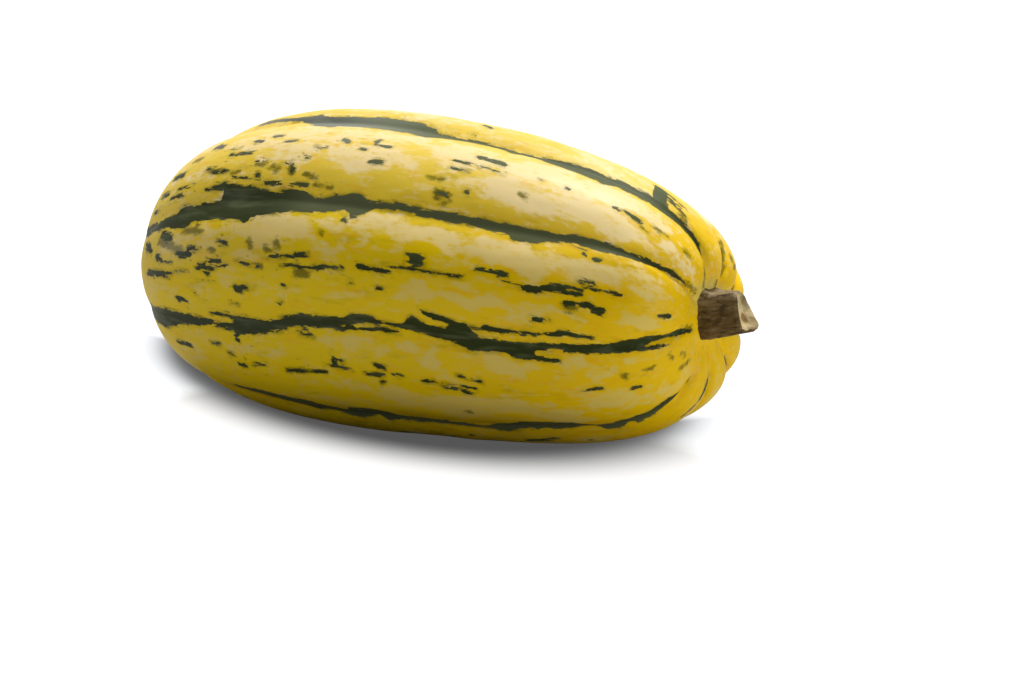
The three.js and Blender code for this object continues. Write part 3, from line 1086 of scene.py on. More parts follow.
@dataclass(frozen=True)
class RindFinish:
    """Waxy rind: yellow and cream mosaic under dark green markings.

    Fades named `_by_arc` follow the arc and those named `_by_height` the height over the
    axis, in millimetres. Those named `_by_edge` follow the distance into a marking.
    """

    lemon: Colour = linear(236, 202, 4)
    gold: Colour = linear(242, 197, 4)
    # The paler top colours are painted light for the brightly lit upper side.
    painted_lit_yellow: Colour = linear(247, 213, 84)
    cream: Colour = linear(233, 203, 96)
    painted_lit_cream: Colour = linear(254, 228, 163)
    orange: Colour = linear(238, 160, 12)
    olive: Colour = linear(116, 104, 6)
    green: Colour = linear(54, 61, 30)
    pale_green_and_sheen: Colour = linear(95, 101, 70)
    collar: Colour = linear(226, 208, 112)
    scar: Colour = linear(150, 116, 70)

    # Gloss. The wax is a clear coat, and the green is polished on top by mid length.
    roughness: float = 0.38
    scar_roughness: float = 0.4
    specular: float = 0.03
    wax: float = 0.17
    polish: float = 0.80
    gloss_by_edge: Fade = Fade(-0.1, 0.3)
    polish_by_sun: Fade = Fade(0.7, 1.0)
    polish_by_arc: Fade = Fade(142, 100)
    dull_by_arc: Fade = Fade(110, 145)
    dull_blossom_by_arc: Fade = Fade(95, 65)
    dull_blossom_by_height: Fade = Fade(0, 8)

    # Yellow and cream, paler on the upper side as painted light.
    mosaic: Mosaic = Mosaic()
    cloud: Grain = Grain(0.11, 0.26, 3.0, 3.0)
    streak: Grain = Grain(0.12, 1.0, 14.0)
    mottle: Grain = Grain(0.45, 0.7, 9.0, 3.0)
    large: Blocks = Blocks(7.0, 2.6, 1.0)
    small: Blocks = Blocks(2.8, 1.2, 6.0)
    cream_share: Fade = Fade(-0.17, 0.47)
    upper_side_by_height: Fade = Fade(14, 44)
    painted_light_by_height: Fade = Fade(6, 30)
    gold_by_arc: Fade = Fade(110, 215)
    painted_light_by_arc: Fade = Fade(225, 195)
    tint: Grain = Grain(0.10, 0.35, 12.0)
    tint_share: Fade = Fade(0.52, 0.78, 0.0, 0.30)
    shade: Grain = Grain(0.09, 0.30, 21.0)
    shade_share: Fade = Fade(0.55, 0.8, 0.0, 0.25)

    # Edges of the markings, and the olive round them.
    coarse: Blocks = Blocks(4.0, 1.3, 3.0)
    coarse_stray: float = 0.5
    fine: Blocks = Blocks(1.5, 0.6, 9.0)
    fine_stray: float = 0.3
    stray_by_arc: Fade = Fade(150, 70, 1.25, 1.9)
    calm_by_arc: Fade = Fade(195, 222, 1.0, 0.5)
    ink_by_edge: Fade = Fade(-0.18, 0.18)
    halo: Grain = Grain(0.22, 0.4, 17.0)
    halo_share: Fade = Fade(0.40, 0.62, 0.1, 0.6)
    halo_by_arc: Fade = Fade(160, 200, 1.0, 0.4)
    halo_by_edge: Fade = Fade(-1.3, 0.2)
    faint_mottle: float = 3.2
    faint_stray: float = 0.8
    faint_by_edge: Fade = Fade(-0.9, 0.7, 0.0, 0.9)
    specks: Grain = Grain(0.38, 0.75, 5.0, 3.0, 0.6)
    speck_share: Fade = Fade(0.63, 0.72)
    speck_by_ink: Fade = Fade(-6, -1)
    speck_by_length: Fade = Fade(0.75, 0.3, 0.0, 0.75)

    # Pale places of the dark green: bleach in streaks and underneath, and a painted sheen on the
    # upper side at mid length.
    bleach: Grain = Grain(0.08, 0.5, 4.0)
    bleach_share: Fade = Fade(0.45, 0.7, 0.0, 0.6)
    sheen_by_arc: tuple[Fade, Fade] = (Fade(92, 112), Fade(218, 194))
    sheen_by_height: tuple[Fade, Fade] = (Fade(8, 22), Fade(34, 44, 0.9, 1.0))
    under_by_height: Fade = Fade(-24, -36)

    # Relief and the scar.
    pores: Grain = Grain(1.6, 2.2, 2.0, 3.0)
    pore_height: float = 0.06
    waves: Grain = Grain(0.10, 0.22, 8.0, 1.0)
    wave_height: float = 0.5
    bump: tuple[float, float] = (0.5, 0.001)
    scar_by_arc: Fade = Fade(5.6, 4.4)

    def build(self, blocks: bpy.types.ShaderNodeTree, arc_length: float) -> bpy.types.Material:
        """Builds the material.

        Args:
            blocks: The shared group of blocks.
            arc_length: Arc from the blossom end to the seat of the stem, in millimetres.

        Returns:
            The rind material.
        """
        material, graph, shader = new_material("waxy_striped_rind")
        surface = Surface(graph, blocks, graph.attribute("skin", "Vector"))
        ink = graph.attribute("ink")
        mottle = self.mottle.on(surface)
        stray = self._stray(surface)
        edge = graph.math("ADD", ink, stray)
        colour = self._mosaic(surface, mottle)
        halo = graph.product(
            self.halo_by_edge.of(graph, edge),
            self.halo_share.of(graph, self.halo.on(surface)),
            self.halo_by_arc.of(graph, surface.arc),
        )
        colour = graph.mix(halo, colour, self.olive)
        faint = graph.math("MULTIPLY_ADD", stray, self.faint_stray, graph.attribute("faint"))
        centred = graph.math("SUBTRACT", mottle, 0.5)
        faint = graph.math("MULTIPLY_ADD", centred, self.faint_mottle, faint)
        specks = self._specks(surface, ink, arc_length)
        faint = graph.math("MAXIMUM", self.faint_by_edge.of(graph, faint), specks)
        colour = graph.mix(faint, colour, self.olive)
        colour = graph.mix(self.ink_by_edge.of(graph, edge), colour, self._dark(surface))
        scar = self.scar_by_arc.of(graph, surface.arc)
        graph.feed(shader.inputs["Base Color"], graph.mix(scar, colour, self.scar))
        rough = graph.math("MULTIPLY_ADD", scar, self.scar_roughness, self.roughness)
        graph.feed(shader.inputs["Roughness"], rough)
        shader.inputs["Specular IOR Level"].default_value = self.specular
        shader.inputs["Coat Roughness"].default_value = self.roughness
        graph.feed(shader.inputs["Coat Weight"], self._coat(surface, edge))
        waves = graph.product(self.waves.on(surface), self.wave_height)
        relief = graph.math("MULTIPLY_ADD", self.pores.on(surface), self.pore_height, waves)
        graph.feed(shader.inputs["Normal"], graph.bump(relief, *self.bump))
        return material

    def _coat(self, surface: Surface, edge: Socket) -> Socket:
        """How waxy the rind is.

        Args:
            surface: The material.
            edge: Distance into a marking, in millimetres.

        Returns:
            Weight of the clear coat. The green is polished on top, and dull toward the stem
            and low by the blossom end.
        """
        graph, arc, height = surface.graph, surface.arc, surface.height
        inked = self.gloss_by_edge.of(graph, edge)
        sunny = self.polish_by_sun.of(graph, self.upper_side_by_height.of(graph, height))
        polished = graph.product(sunny, inked, self.polish_by_arc.of(graph, arc))
        blossom = graph.product(
            self.dull_blossom_by_arc.of(graph, arc), self.dull_blossom_by_height.of(graph, height)
        )
        dull = graph.math("MAXIMUM", blossom, self.dull_by_arc.of(graph, arc))
        waxy = graph.math("MULTIPLY_ADD", polished, self.polish, self.wax)
        return graph.math("SUBTRACT", waxy, graph.product(inked, dull, self.wax))

    def _dark(self, surface: Surface) -> Socket:
        """The green of the markings.

        Args:
            surface: The material.

        Returns:
            Dark green, paler in bleach streaks and underneath, with a painted sheen on the upper
            side at mid length.
        """
        graph, arc, height = surface.graph, surface.arc, surface.height
        streaks = self.bleach_share.of(graph, self.bleach.on(surface))
        along = [fade.of(graph, arc) for fade in self.sheen_by_arc]
        upward = [fade.of(graph, height) for fade in self.sheen_by_height]
        under = self.under_by_height.of(graph, height)
        # Painted sheen: pale green on the upper side at mid length.
        bleach_and_sheen = graph.math("MAXIMUM", graph.product(*along, *upward), under)
        share = graph.math("MAXIMUM", streaks, bleach_and_sheen)
        return graph.mix(share, self.green, self.pale_green_and_sheen)

    def _stray(self, surface: Surface) -> Socket:
        """How far the edges of the markings stray.

        Args:
            surface: The material.

        Returns:
            Millimetres, most toward the blossom end.
        """
        graph = surface.graph
        stray = 0.0
        for blocks, amount in ((self.coarse, self.coarse_stray), (self.fine, self.fine_stray)):
            centred = graph.math("SUBTRACT", blocks.on(surface), 0.5)
            stray = graph.math("MULTIPLY_ADD", centred, amount, stray)
        calm = self.calm_by_arc.of(graph, surface.arc)
        return graph.product(stray, self.stray_by_arc.of(graph, surface.arc), calm)

    def _specks(self, surface: Surface, ink: Socket, arc_length: float) -> Socket:
        """Small olive specks near the markings.

        Args:
            surface: The material.
            ink: Distance into a marking, in millimetres, before its edge strays.
            arc_length: Arc from end to end.

        Returns:
            Share of olive, most toward the blossom end.
        """
        graph = surface.graph
        share = graph.math("DIVIDE", surface.arc, arc_length)
        return graph.product(
            self.speck_share.of(graph, self.specks.on(surface)),
            self.speck_by_ink.of(graph, ink),
            self.speck_by_length.of(graph, share),
        )

    def _mosaic(self, surface: Surface, mottle: Socket) -> Socket:
        """The rind between the markings.

        Args:
            surface: The material.
            mottle: The fine mottling.

        Returns:
            Yellow and cream in soft stretched patches, golden by the stem, and paler on top as
            painted light.
        """
        graph, arc, height, mosaic = surface.graph, surface.arc, surface.height, self.mosaic
        total = graph.math("MULTIPLY_ADD", graph.attribute("cream"), mosaic.patches, mosaic.start)
        for texture, amount in (
            (self.cloud.on(surface), mosaic.cloud),
            (self.large.on(surface), mosaic.large),
            (self.small.on(surface), mosaic.small),
            (self.streak.on(surface), mosaic.streak),
            (mottle, mosaic.mottle),
        ):
            total = graph.math("MULTIPLY_ADD", texture, amount, total)
        yellow = graph.mix(self.gold_by_arc.of(graph, arc), self.lemon, self.gold)
        # Painted light: the yellow turns paler toward the top, except by the stem.
        painted_light = graph.product(
            self.upper_side_by_height.of(graph, height), self.painted_light_by_arc.of(graph, arc)
        )
        yellow = graph.mix(painted_light, yellow, self.painted_lit_yellow)
        tinted = self.tint_share.of(graph, self.tint.on(surface))
        yellow = graph.mix(tinted, yellow, self.orange)
        shaded = self.shade_share.of(graph, self.shade.on(surface))
        yellow = graph.mix(shaded, yellow, self.olive)
        # Painted light: the cream turns paler toward the top.
        cream = graph.mix(self.painted_light_by_height.of(graph, height), self.cream, self.painted_lit_cream)
        base = graph.mix(self.cream_share.of(graph, total), yellow, cream)
        return graph.mix(graph.attribute("collar"), base, self.collar)


@dataclass(frozen=True)
class StemFinish:
    """Corky dark bark on the sides, pale dry fibre where the stem is cut."""

    bark: Colour = linear(114, 92, 53)
    worn: Colour = linear(158, 140, 106)
    cleft: Colour = linear(60, 46, 24)
    fibre: Colour = linear(214, 192, 140)
    rim: Colour = linear(224, 206, 160)
    pith: Colour = linear(150, 118, 66)
    specular: float = 0.12
    roughness: Fade = Fade(0.3, 0.8, 0.72, 0.92)
    fibres: Grain = Grain(0.28, 1.1, 2.0, 5.0, 0.65)
    flakes: Blocks = Blocks(3.0, 0.8, 4.0)
    flake_height: float = 0.25
    grime: Grain = Grain(0.35, 0.5, 7.0, 3.0)
    rays: Grain = Grain(1.2, 1.2, 5.0, 4.0)
    ridge_and_top_wear: float = 0.45
    fibre_wear: float = 0.9
    worn_share: Fade = Fade(0.52, 1.0)
    cleft_share: Fade = Fade(0.45, 0.33, 0.0, 0.7)
    grime_share: Fade = Fade(0.48, 0.66, 0.0, 0.6)
    rim_share: Fade = Fade(0.35, 0.7)
    bump: tuple[float, float] = (0.7, 0.0006)

    def build(self, blocks: bpy.types.ShaderNodeTree) -> bpy.types.Material:
        """Builds the material.

        Args:
            blocks: The shared group of blocks.

        Returns:
            The stem material, guided by the mesh's values cut, ridge, pith and skin.
        """
        material, graph, shader = new_material("corky_stem")
        surface = Surface(graph, blocks, graph.attribute("skin", "Vector"))
        fibres = self.fibres.on(surface)
        wear = graph.product(fibres, self.fibre_wear)
        wear = graph.math("MULTIPLY_ADD", graph.attribute("ridge_and_top"), self.ridge_and_top_wear, wear)
        side = graph.mix(self.worn_share.of(graph, wear), self.bark, self.worn)
        side = graph.mix(self.cleft_share.of(graph, fibres), side, self.cleft)
        side = graph.mix(self.grime_share.of(graph, self.grime.on(surface)), side, self.cleft)
        rays = self.rim_share.of(graph, self.rays.on(surface))
        face = graph.mix(rays, self.fibre, self.rim)
        face = graph.mix(graph.attribute("pith"), face, self.pith)
        colour = graph.mix(graph.attribute("cut"), side, face)
        graph.feed(shader.inputs["Base Color"], colour)
        graph.feed(shader.inputs["Roughness"], self.roughness.of(graph, fibres))
        shader.inputs["Specular IOR Level"].default_value = self.specular
        relief = graph.math("MULTIPLY_ADD", self.flakes.on(surface), self.flake_height, fibres)
        graph.feed(shader.inputs["Normal"], graph.bump(relief, *self.bump))
        return material


# --------------------------------------------------------------------------------------
# Pieces
# --------------------------------------------------------------------------------------


class Slot(Enum):
    """The record's material slots."""

    RIND = "rind"
    BARK = "bark"


def spun_skin(length: float, stations: int, segments: int) -> bmesh.types.BMesh:
    """Spins a straight profile into a closed spindle whose x is the arc.

    Args:
        length: Arc from pole to pole.
        stations: Rings between the poles.
        segments: Faces round a ring.

    Returns:
        The spindle, welded at its poles, with its faces outward.
    """
    mesh = bmesh.new()
    arcs = np.linspace(0.0, length, stations + 2)
    bow = np.minimum(arcs, length - arcs)
    verts = [mesh.verts.new((arc, -reach, 0.0)) for arc, reach in zip(arcs.tolist(), bow.tolist())]
    edges = [mesh.edges.new(pair) for pair in zip(verts[:-1], verts[1:])]
    bmesh.ops.spin(
        mesh, geom=verts + edges, cent=(0, 0, 0), axis=(1, 0, 0), dvec=(0, 0, 0),
        angle=2 * math.pi, steps=segments, use_merge=True, use_duplicate=False,
    )
    bmesh.ops.remove_doubles(mesh, verts=mesh.verts[:], dist=1e-5)
    bmesh.ops.recalc_face_normals(mesh, faces=mesh.faces[:])
    return mesh


def spun_places(mesh: bmesh.types.BMesh) -> tuple[np.ndarray, np.ndarray]:
    """Arc and angle in degrees of each vertex of a spindle: 0 faces -Y, 90 faces up."""
    places = np.array([vert.co[:] for vert in mesh.verts])
    return places[:, 0], np.degrees(np.arctan2(places[:, 2], -places[:, 1]))


def finish_piece(
    mesh: bmesh.types.BMesh, name: str, node: str, points: np.ndarray,
    material: bpy.types.Material,
) -> bpy.types.Object:
    """Moves a mesh's vertices to their places and makes it a piece of the scene.

    Args:
        mesh: The spun mesh.
        name: Name of the piece.
        node: The solid that it stands for.
        points: Place of each vertex in millimetres.
        material: Its finish.

    Returns:
        The new object, riding on the root body.
    """
    data = bpy.data.meshes.new(name)
    mesh.to_mesh(data)
    mesh.free()
    data.vertices.foreach_set("co", (points * MM).ravel().astype(np.float32))
    data.materials.append(material)
    data.shade_smooth()
    data.update()
    piece = bpy.data.objects.new(name, data)
    bpy.context.scene.collection.objects.link(piece)
    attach(piece, "root")
    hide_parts(node)
    LOG.info("%s: %d vertices, %d faces", name, len(data.vertices), len(data.polygons))
    return piece


def set_values(piece: bpy.types.Object, values: dict[str, np.ndarray]) -> None:
    """Stores values on a piece's vertices, for its material to read.

    Args:
        piece: The piece.
        values: By name, one number or one vector for each vertex.
    """
    for name, rows in values.items():
        kind, key = ("FLOAT", "value") if rows.ndim == 1 else ("FLOAT_VECTOR", "vector")
        layer = piece.data.attributes.new(name, kind, "POINT")
        layer.data.foreach_set(key, rows.ravel().astype(np.float32))


@dataclass
class Fruit:
    """The whole squash body. Its rings have more faces where the markings are seen best."""

    shape: FruitShape
    stations: int = 244
    segments: int = 396
    crowding: float = 0.30
    crowded_angle: float = 15.0
    margin: float = 0.06

    lump_height: float = 0.35
    lump_sink: float = 0.7
    broad_lumps: Lumps = Lumps(16.0, 3.1, 0.7)
    broad_share: float = 0.65
    small_lumps: Lumps = Lumps(7.0, 8.7, 0.7)
    plain_ends: tuple[float, float] = (25.0, 14.0)

    scar_edge: tuple[float, float, float] = (5.0, 3.6, 0.8)
    scar_hub: tuple[float, float, float] = (2.4, 0.6, -0.35)

    crease_width: float = 1.1
    crease_depth: float = 0.6
    pleat_width: float = 3.2
    pleat_depth: float = 0.2
    gathered: tuple[float, float, float, float] = (195.0, 222.0, 230.0, 235.0)
    body_crease: float = 0.15
    body: tuple[float, float, float, float] = (20.0, 60.0, 225.0, 235.0)

    collar_turn: tuple[float, float] = (110.0, 165.0)
    collar_reach: tuple[float, float] = (225.5, 230.5)
    collar_share: float = 0.85

    # The cream strays from its patches, by millimetres along and by degrees round.
    cream_strays: tuple[tuple[float, Lumps], ...] = (
        (5.0, Lumps(9.0, 1.3)), (2.5, Lumps(4.0, 6.1)),
    )
    cream_turns: tuple[tuple[float, Lumps], ...] = (
        (4.0, Lumps(8.0, 9.4)), (2.0, Lumps(3.5, 2.9)),
    )

    def build(self, finish: RindFinish, blocks: bpy.types.ShaderNodeTree) -> bpy.types.Object:
        """Builds the fruit with its markings.

        Args:
            finish: The rind's finish.
            blocks: The shared group of blocks.

        Returns:
            The finished piece.
        """
        mesh = spun_skin(self.shape.length, self.stations, self.segments)
        arc, turn = spun_places(mesh)
        offset = np.radians(turn - self.crowded_angle)
        degrees = turn - np.degrees(self.crowding * np.sin(offset))
        radius = self.shape.radius_at(arc)
        body = self._round(arc, degrees, radius)
        skin = self._round(arc, degrees, np.sqrt(self.shape.crest_radius * np.maximum(radius, 1.0)))

        sink = self.margin + self._unevenness(body, arc) + self._scar(arc)
        sink = sink + self._pleats(arc, degrees)
        points = self.shape.place(arc, degrees, sink)
        material = finish.build(blocks, self.shape.length)
        piece = finish_piece(mesh, "fruit_rind", "fruit", points, material)
        markings = Markings(self.shape)
        markings.grow_hidden_side()
        stray = sum(amount * lumps.at(skin) for amount, lumps in self.cream_strays)
        turned = sum(amount * lumps.at(skin) for amount, lumps in self.cream_turns)
        set_values(piece, {
            "ink": markings.green(arc, degrees),
            "faint": markings.olive(arc, degrees),
            "cream": markings.cream(arc + stray, degrees + turned),
            "collar": self._collar(arc, degrees),
            "skin": skin,
        })
        return piece

    @staticmethod
    def _round(arc: np.ndarray, degrees: np.ndarray, radius: np.ndarray) -> np.ndarray:
        """Places round a straight axis.

        Args:
            arc: Place along the axis.
            degrees: Angles round it.
            radius: Distances from it.

        Returns:
            One row of x, outward and up for each place.
        """
        angle = np.radians(degrees)
        return np.stack([arc, radius * np.cos(angle), radius * np.sin(angle)], axis=-1)

    def _unevenness(self, body: np.ndarray, arc: np.ndarray) -> np.ndarray:
        """Gentle lumps, all of them below the plain skin.

        Args:
            body: Places on the body, one row each.
            arc: Their arcs.

        Returns:
            How far each place lies below the plain skin.
        """
        wave = self.broad_share * self.broad_lumps.at(body)
        wave = wave + (1.0 - self.broad_share) * self.small_lumps.at(body)
        blossom, stem = self.plain_ends
        calm = smooth_step(0.0, blossom, arc) * smooth_step(0.0, stem, self.shape.length - arc)
        return self.lump_height * (self.lump_sink + wave) * calm

    def _scar(self, arc: np.ndarray) -> np.ndarray:
        """The blossom scar: a shallow dish with a hub."""
        rings = (self.scar_edge, self.scar_hub)
        return sum(depth * smooth_step(outer, inner, arc) for outer, inner, depth in rings)

    def _pleats(self, arc: np.ndarray, degrees: np.ndarray) -> np.ndarray:
        """How far the furrows are drawn in, most where the ribs gather round the stem.

        Args:
            arc: Arcs from the blossom end.
            degrees: Angles round the fruit.

        Returns:
            Millimetres below the plain skin.
        """
        angles = self.shape.furrow_angles(self.shape.along(arc))
        away = np.abs(turn_from(degrees[:, None], angles)).min(axis=1)
        away = away * np.radians(self.shape.radius_at(arc))
        sharp = np.exp(-((away / self.crease_width) ** 2))
        broad = np.exp(-((away / (self.pleat_width * self.crease_width)) ** 2))
        gathered = plateau(self.gathered, arc)
        drawn = gathered * (self.crease_depth * sharp + self.pleat_depth * broad)
        return drawn + self.body_crease * plateau(self.body, arc) * sharp

    def _collar(self, arc: np.ndarray, degrees: np.ndarray) -> np.ndarray:
        """The pale rind under the stem, where it never saw the sun."""
        below = smooth_step(*self.collar_turn, np.abs(turn_from(degrees, -90.0)))
        return self.collar_share * below * smooth_step(*self.collar_reach, arc)


@dataclass(frozen=True)
class Swelling:
    """A raised place on the rim of the stem's cut, and dark colour over it: real bark on the lip,
    painted shade at the low tip.

    Angles are in degrees, heights in millimetres, and an edge is a share of the cut's radius.
    """

    angle: float
    height: float
    width: float
    edge: tuple[float, float]
    bark: float
    bark_and_shade_width: float
    bark_and_shade_edge: tuple[float, float]

    def rise(self, degrees: np.ndarray, inward: np.ndarray) -> np.ndarray:
        """How far the cut is raised, in millimetres."""
        near = np.exp(-((turn_from(degrees, self.angle) / self.width) ** 2))
        return self.height * near * smooth_step(*self.edge, inward)

    def free_of_bark_and_shade(self, degrees: np.ndarray, inward: np.ndarray) -> np.ndarray:
        """Share of the cut that keeps its pale colour, free of the lip's bark and the tip's painted
        shade.
        """
        near = np.exp(-((turn_from(degrees, self.angle) / self.bark_and_shade_width) ** 2))
        return 1.0 - self.bark * near * smooth_step(*self.bark_and_shade_edge, inward)


@dataclass
class Stem:
    """The cut stub of the stem, five blunt corners, dry and corky."""

    shape: FruitShape
    base_radius: float = 7.25
    cut_radius: float = 5.75
    length: float = 8.4
    root: float = 2.8
    shift: tuple[float, float, float] = (1.7, 1.3, 0.25)
    lean: float = 0.19
    stations: int = 150
    segments: int = 180

    corners: tuple[float, ...] = (62.0, -57.0, 118.0, 178.0, -118.0)
    corner_height: float = 0.20
    corner_width: float = 26.0
    corner_sink: float = 0.55
    grooves: Lumps = Lumps(1.5, 2.3, 0.12)
    groove_depth: float = 0.28
    pits: Lumps = Lumps(0.9, 5.9, 0.5)
    pit_depth: float = 0.12
    bark_sink: float = 0.3

    slope: tuple[float, float] = (-0.23, -0.34)
    twist: float = -0.036
    rounding: float = 0.09
    dish_depth: float = 0.9
    dish_edge: tuple[float, float] = (0.55, 0.92)
    lip: Swelling = Swelling(132.0, 0.7, 30.0, (0.72, 0.94), 0.9, 42.0, (0.5, 0.7))
    # At the low tip the bark colour over the cut is painted shade in its hollow end.
    tip: Swelling = Swelling(-125.0, 1.4, 38.0, (0.2, 0.9), 0.6, 50.0, (0.1, 0.4))
    saw_marks: Lumps = Lumps(1.3, 1.7)
    saw_depth: float = 0.18
    pith_place: tuple[float, float] = (0.4, -1.6)
    pith_edge: tuple[float, float] = (1.9, 0.9)

    def build(self, finish: StemFinish, blocks: bpy.types.ShaderNodeTree) -> bpy.types.Object:
        """Builds the stem.

        Args:
            finish: The stem's finish.
            blocks: The shared group of blocks.

        Returns:
            The finished piece.
        """
        side = self.length + self.root
        cut = self.base_radius + side
        total = cut + self.cut_radius
        mesh = spun_skin(total, self.stations, self.segments)
        arc, degrees = spun_places(mesh)
        share = np.clip((arc - self.base_radius) / side, 0.0, 1.0)
        inward = np.where(arc > cut, (total - arc) / self.cut_radius, 1.0)
        inward = np.where(arc < self.base_radius, arc / self.base_radius, inward)
        girth, ridge_and_top = self._bark(share, degrees, side)
        rounding = smooth_step(0.90, 1.0, share) * smooth_step(0.6, 1.0, inward)
        girth = girth * inward * (1.0 - self.rounding * rounding)
        y = -girth * np.cos(np.radians(degrees))
        z = girth * np.sin(np.radians(degrees))

        tilt = self.slope[0] * y + self.slope[1] * z + self.twist * y * z
        tilt = tilt + self.lip.rise(degrees, inward) + self.tip.rise(degrees, inward)
        hollow = (1.0 - smooth_step(*self.dish_edge, inward)) * smooth_step(1.0, 0.4, inward)
        x = share * (side + tilt) - self.root - np.where(arc > cut, self.dish_depth * hollow, 0.0)
        sawn = self.saw_depth * self.saw_marks.at(np.stack([y, z, y], axis=-1))
        x = x + np.where(share >= 1.0, sawn, 0.0)
        seat = self.shape.dimple_floor() + np.array(self.shift)
        points = np.stack([x, y, z + self.lean * np.maximum(x, 0.0)], axis=-1) + seat

        piece = finish_piece(mesh, "stem_stub", "stem", points, finish.build(blocks))
        # The lip darkens the cut with bark, the tip with painted shade.
        free_of_bark_and_shade = self.lip.free_of_bark_and_shade(degrees, inward) * self.tip.free_of_bark_and_shade(degrees, inward)
        heart = np.hypot(y - self.pith_place[0], z - self.pith_place[1])
        set_values(piece, {
            "cut": free_of_bark_and_shade * smooth_step(cut - 0.1, cut + 0.3, arc),
            "ridge_and_top": ridge_and_top,
            "pith": smooth_step(*self.pith_edge, heart) * (arc > cut),
            "skin": np.stack([x, y, z], axis=-1),
        })
        return piece

    def _bark(
        self, share: np.ndarray, degrees: np.ndarray, side: float
    ) -> tuple[np.ndarray, np.ndarray]:
        """The grooved, cornered bark.

        Args:
            share: Share of the way from the base to the cut.
            degrees: Angles round the stem.
            side: Length of the bark from base to cut.

        Returns:
            Radius of the stem, and a share from 0 to 1 that grows where a place stands out and
            toward the top.
        """
        angle = np.radians(degrees)
        wide = self.base_radius + (self.cut_radius - self.base_radius) * np.sqrt(share)
        apart = np.abs(turn_from(degrees[:, None], np.array(self.corners))).min(axis=1)
        corner = np.exp(-((apart / self.corner_width) ** 2)) - self.corner_sink
        corner = self.corner_height * corner
        points = np.stack([share * side, wide * np.cos(angle), wide * np.sin(angle)], axis=-1)
        groove = self.grooves.at(points)
        relief = self.groove_depth * groove + self.pit_depth * self.pits.at(points)
        # The pale worn colour also grows toward the top of the stem, so it is darker toward the
        # bottom.
        ridge_and_top = np.clip(0.45 + 0.5 * groove + 2.0 * corner + 0.35 * np.sin(angle), 0.0, 1.0)
        return wide * (1.0 + corner) + relief - self.bark_sink, ridge_and_top


# --------------------------------------------------------------------------------------
# Floor, light and camera
# --------------------------------------------------------------------------------------


@dataclass(frozen=True)
class Lamp:
    """A broad far light: where it stands, in degrees, how wide it looks and how strong it is."""

    name: str
    azimuth: float
    elevation: float
    spread: float
    strength: float

    def build(self) -> None:
        """Adds the lamp to the scene. Azimuth runs from +X toward +Y."""
        turn, rise = math.radians(self.azimuth), math.radians(self.elevation)
        light = bpy.data.lights.new(self.name, "SUN")
        light.energy = self.strength
        light.angle = math.radians(self.spread)
        lamp = bpy.data.objects.new(self.name, light)
        level = math.cos(rise)
        toward = Vector((math.cos(turn) * level, math.sin(turn) * level, math.sin(rise)))
        lamp.rotation_mode = "QUATERNION"
        lamp.rotation_quaternion = toward.to_track_quat("Z", "Y")
        bpy.context.scene.collection.objects.link(lamp)


@dataclass(frozen=True)
class Pool:
    """An oval of painted soft shade on the floor: its middle, its half sizes in metres and its
    turn.
    """

    x: float
    y: float
    half_x: float
    half_y: float
    turn: float = 0.0

    def reach(self, graph: Graph, place: Socket) -> Socket:
        """How far out a place is.

        Args:
            graph: The floor's graph.
            place: The place.

        Returns:
            0 in the middle of the oval and 1 on its edge.
        """
        mapping = {
            "Vector": place,
            "Location": (self.x, self.y, 0.0),
            "Rotation": (0.0, 0.0, math.radians(self.turn)),
            "Scale": (self.half_x, self.half_y, 1.0),
        }
        oval = graph.node("ShaderNodeMapping", mapping, vector_type="TEXTURE").outputs["Vector"]
        return graph.vector("LENGTH", oval).outputs["Value"]


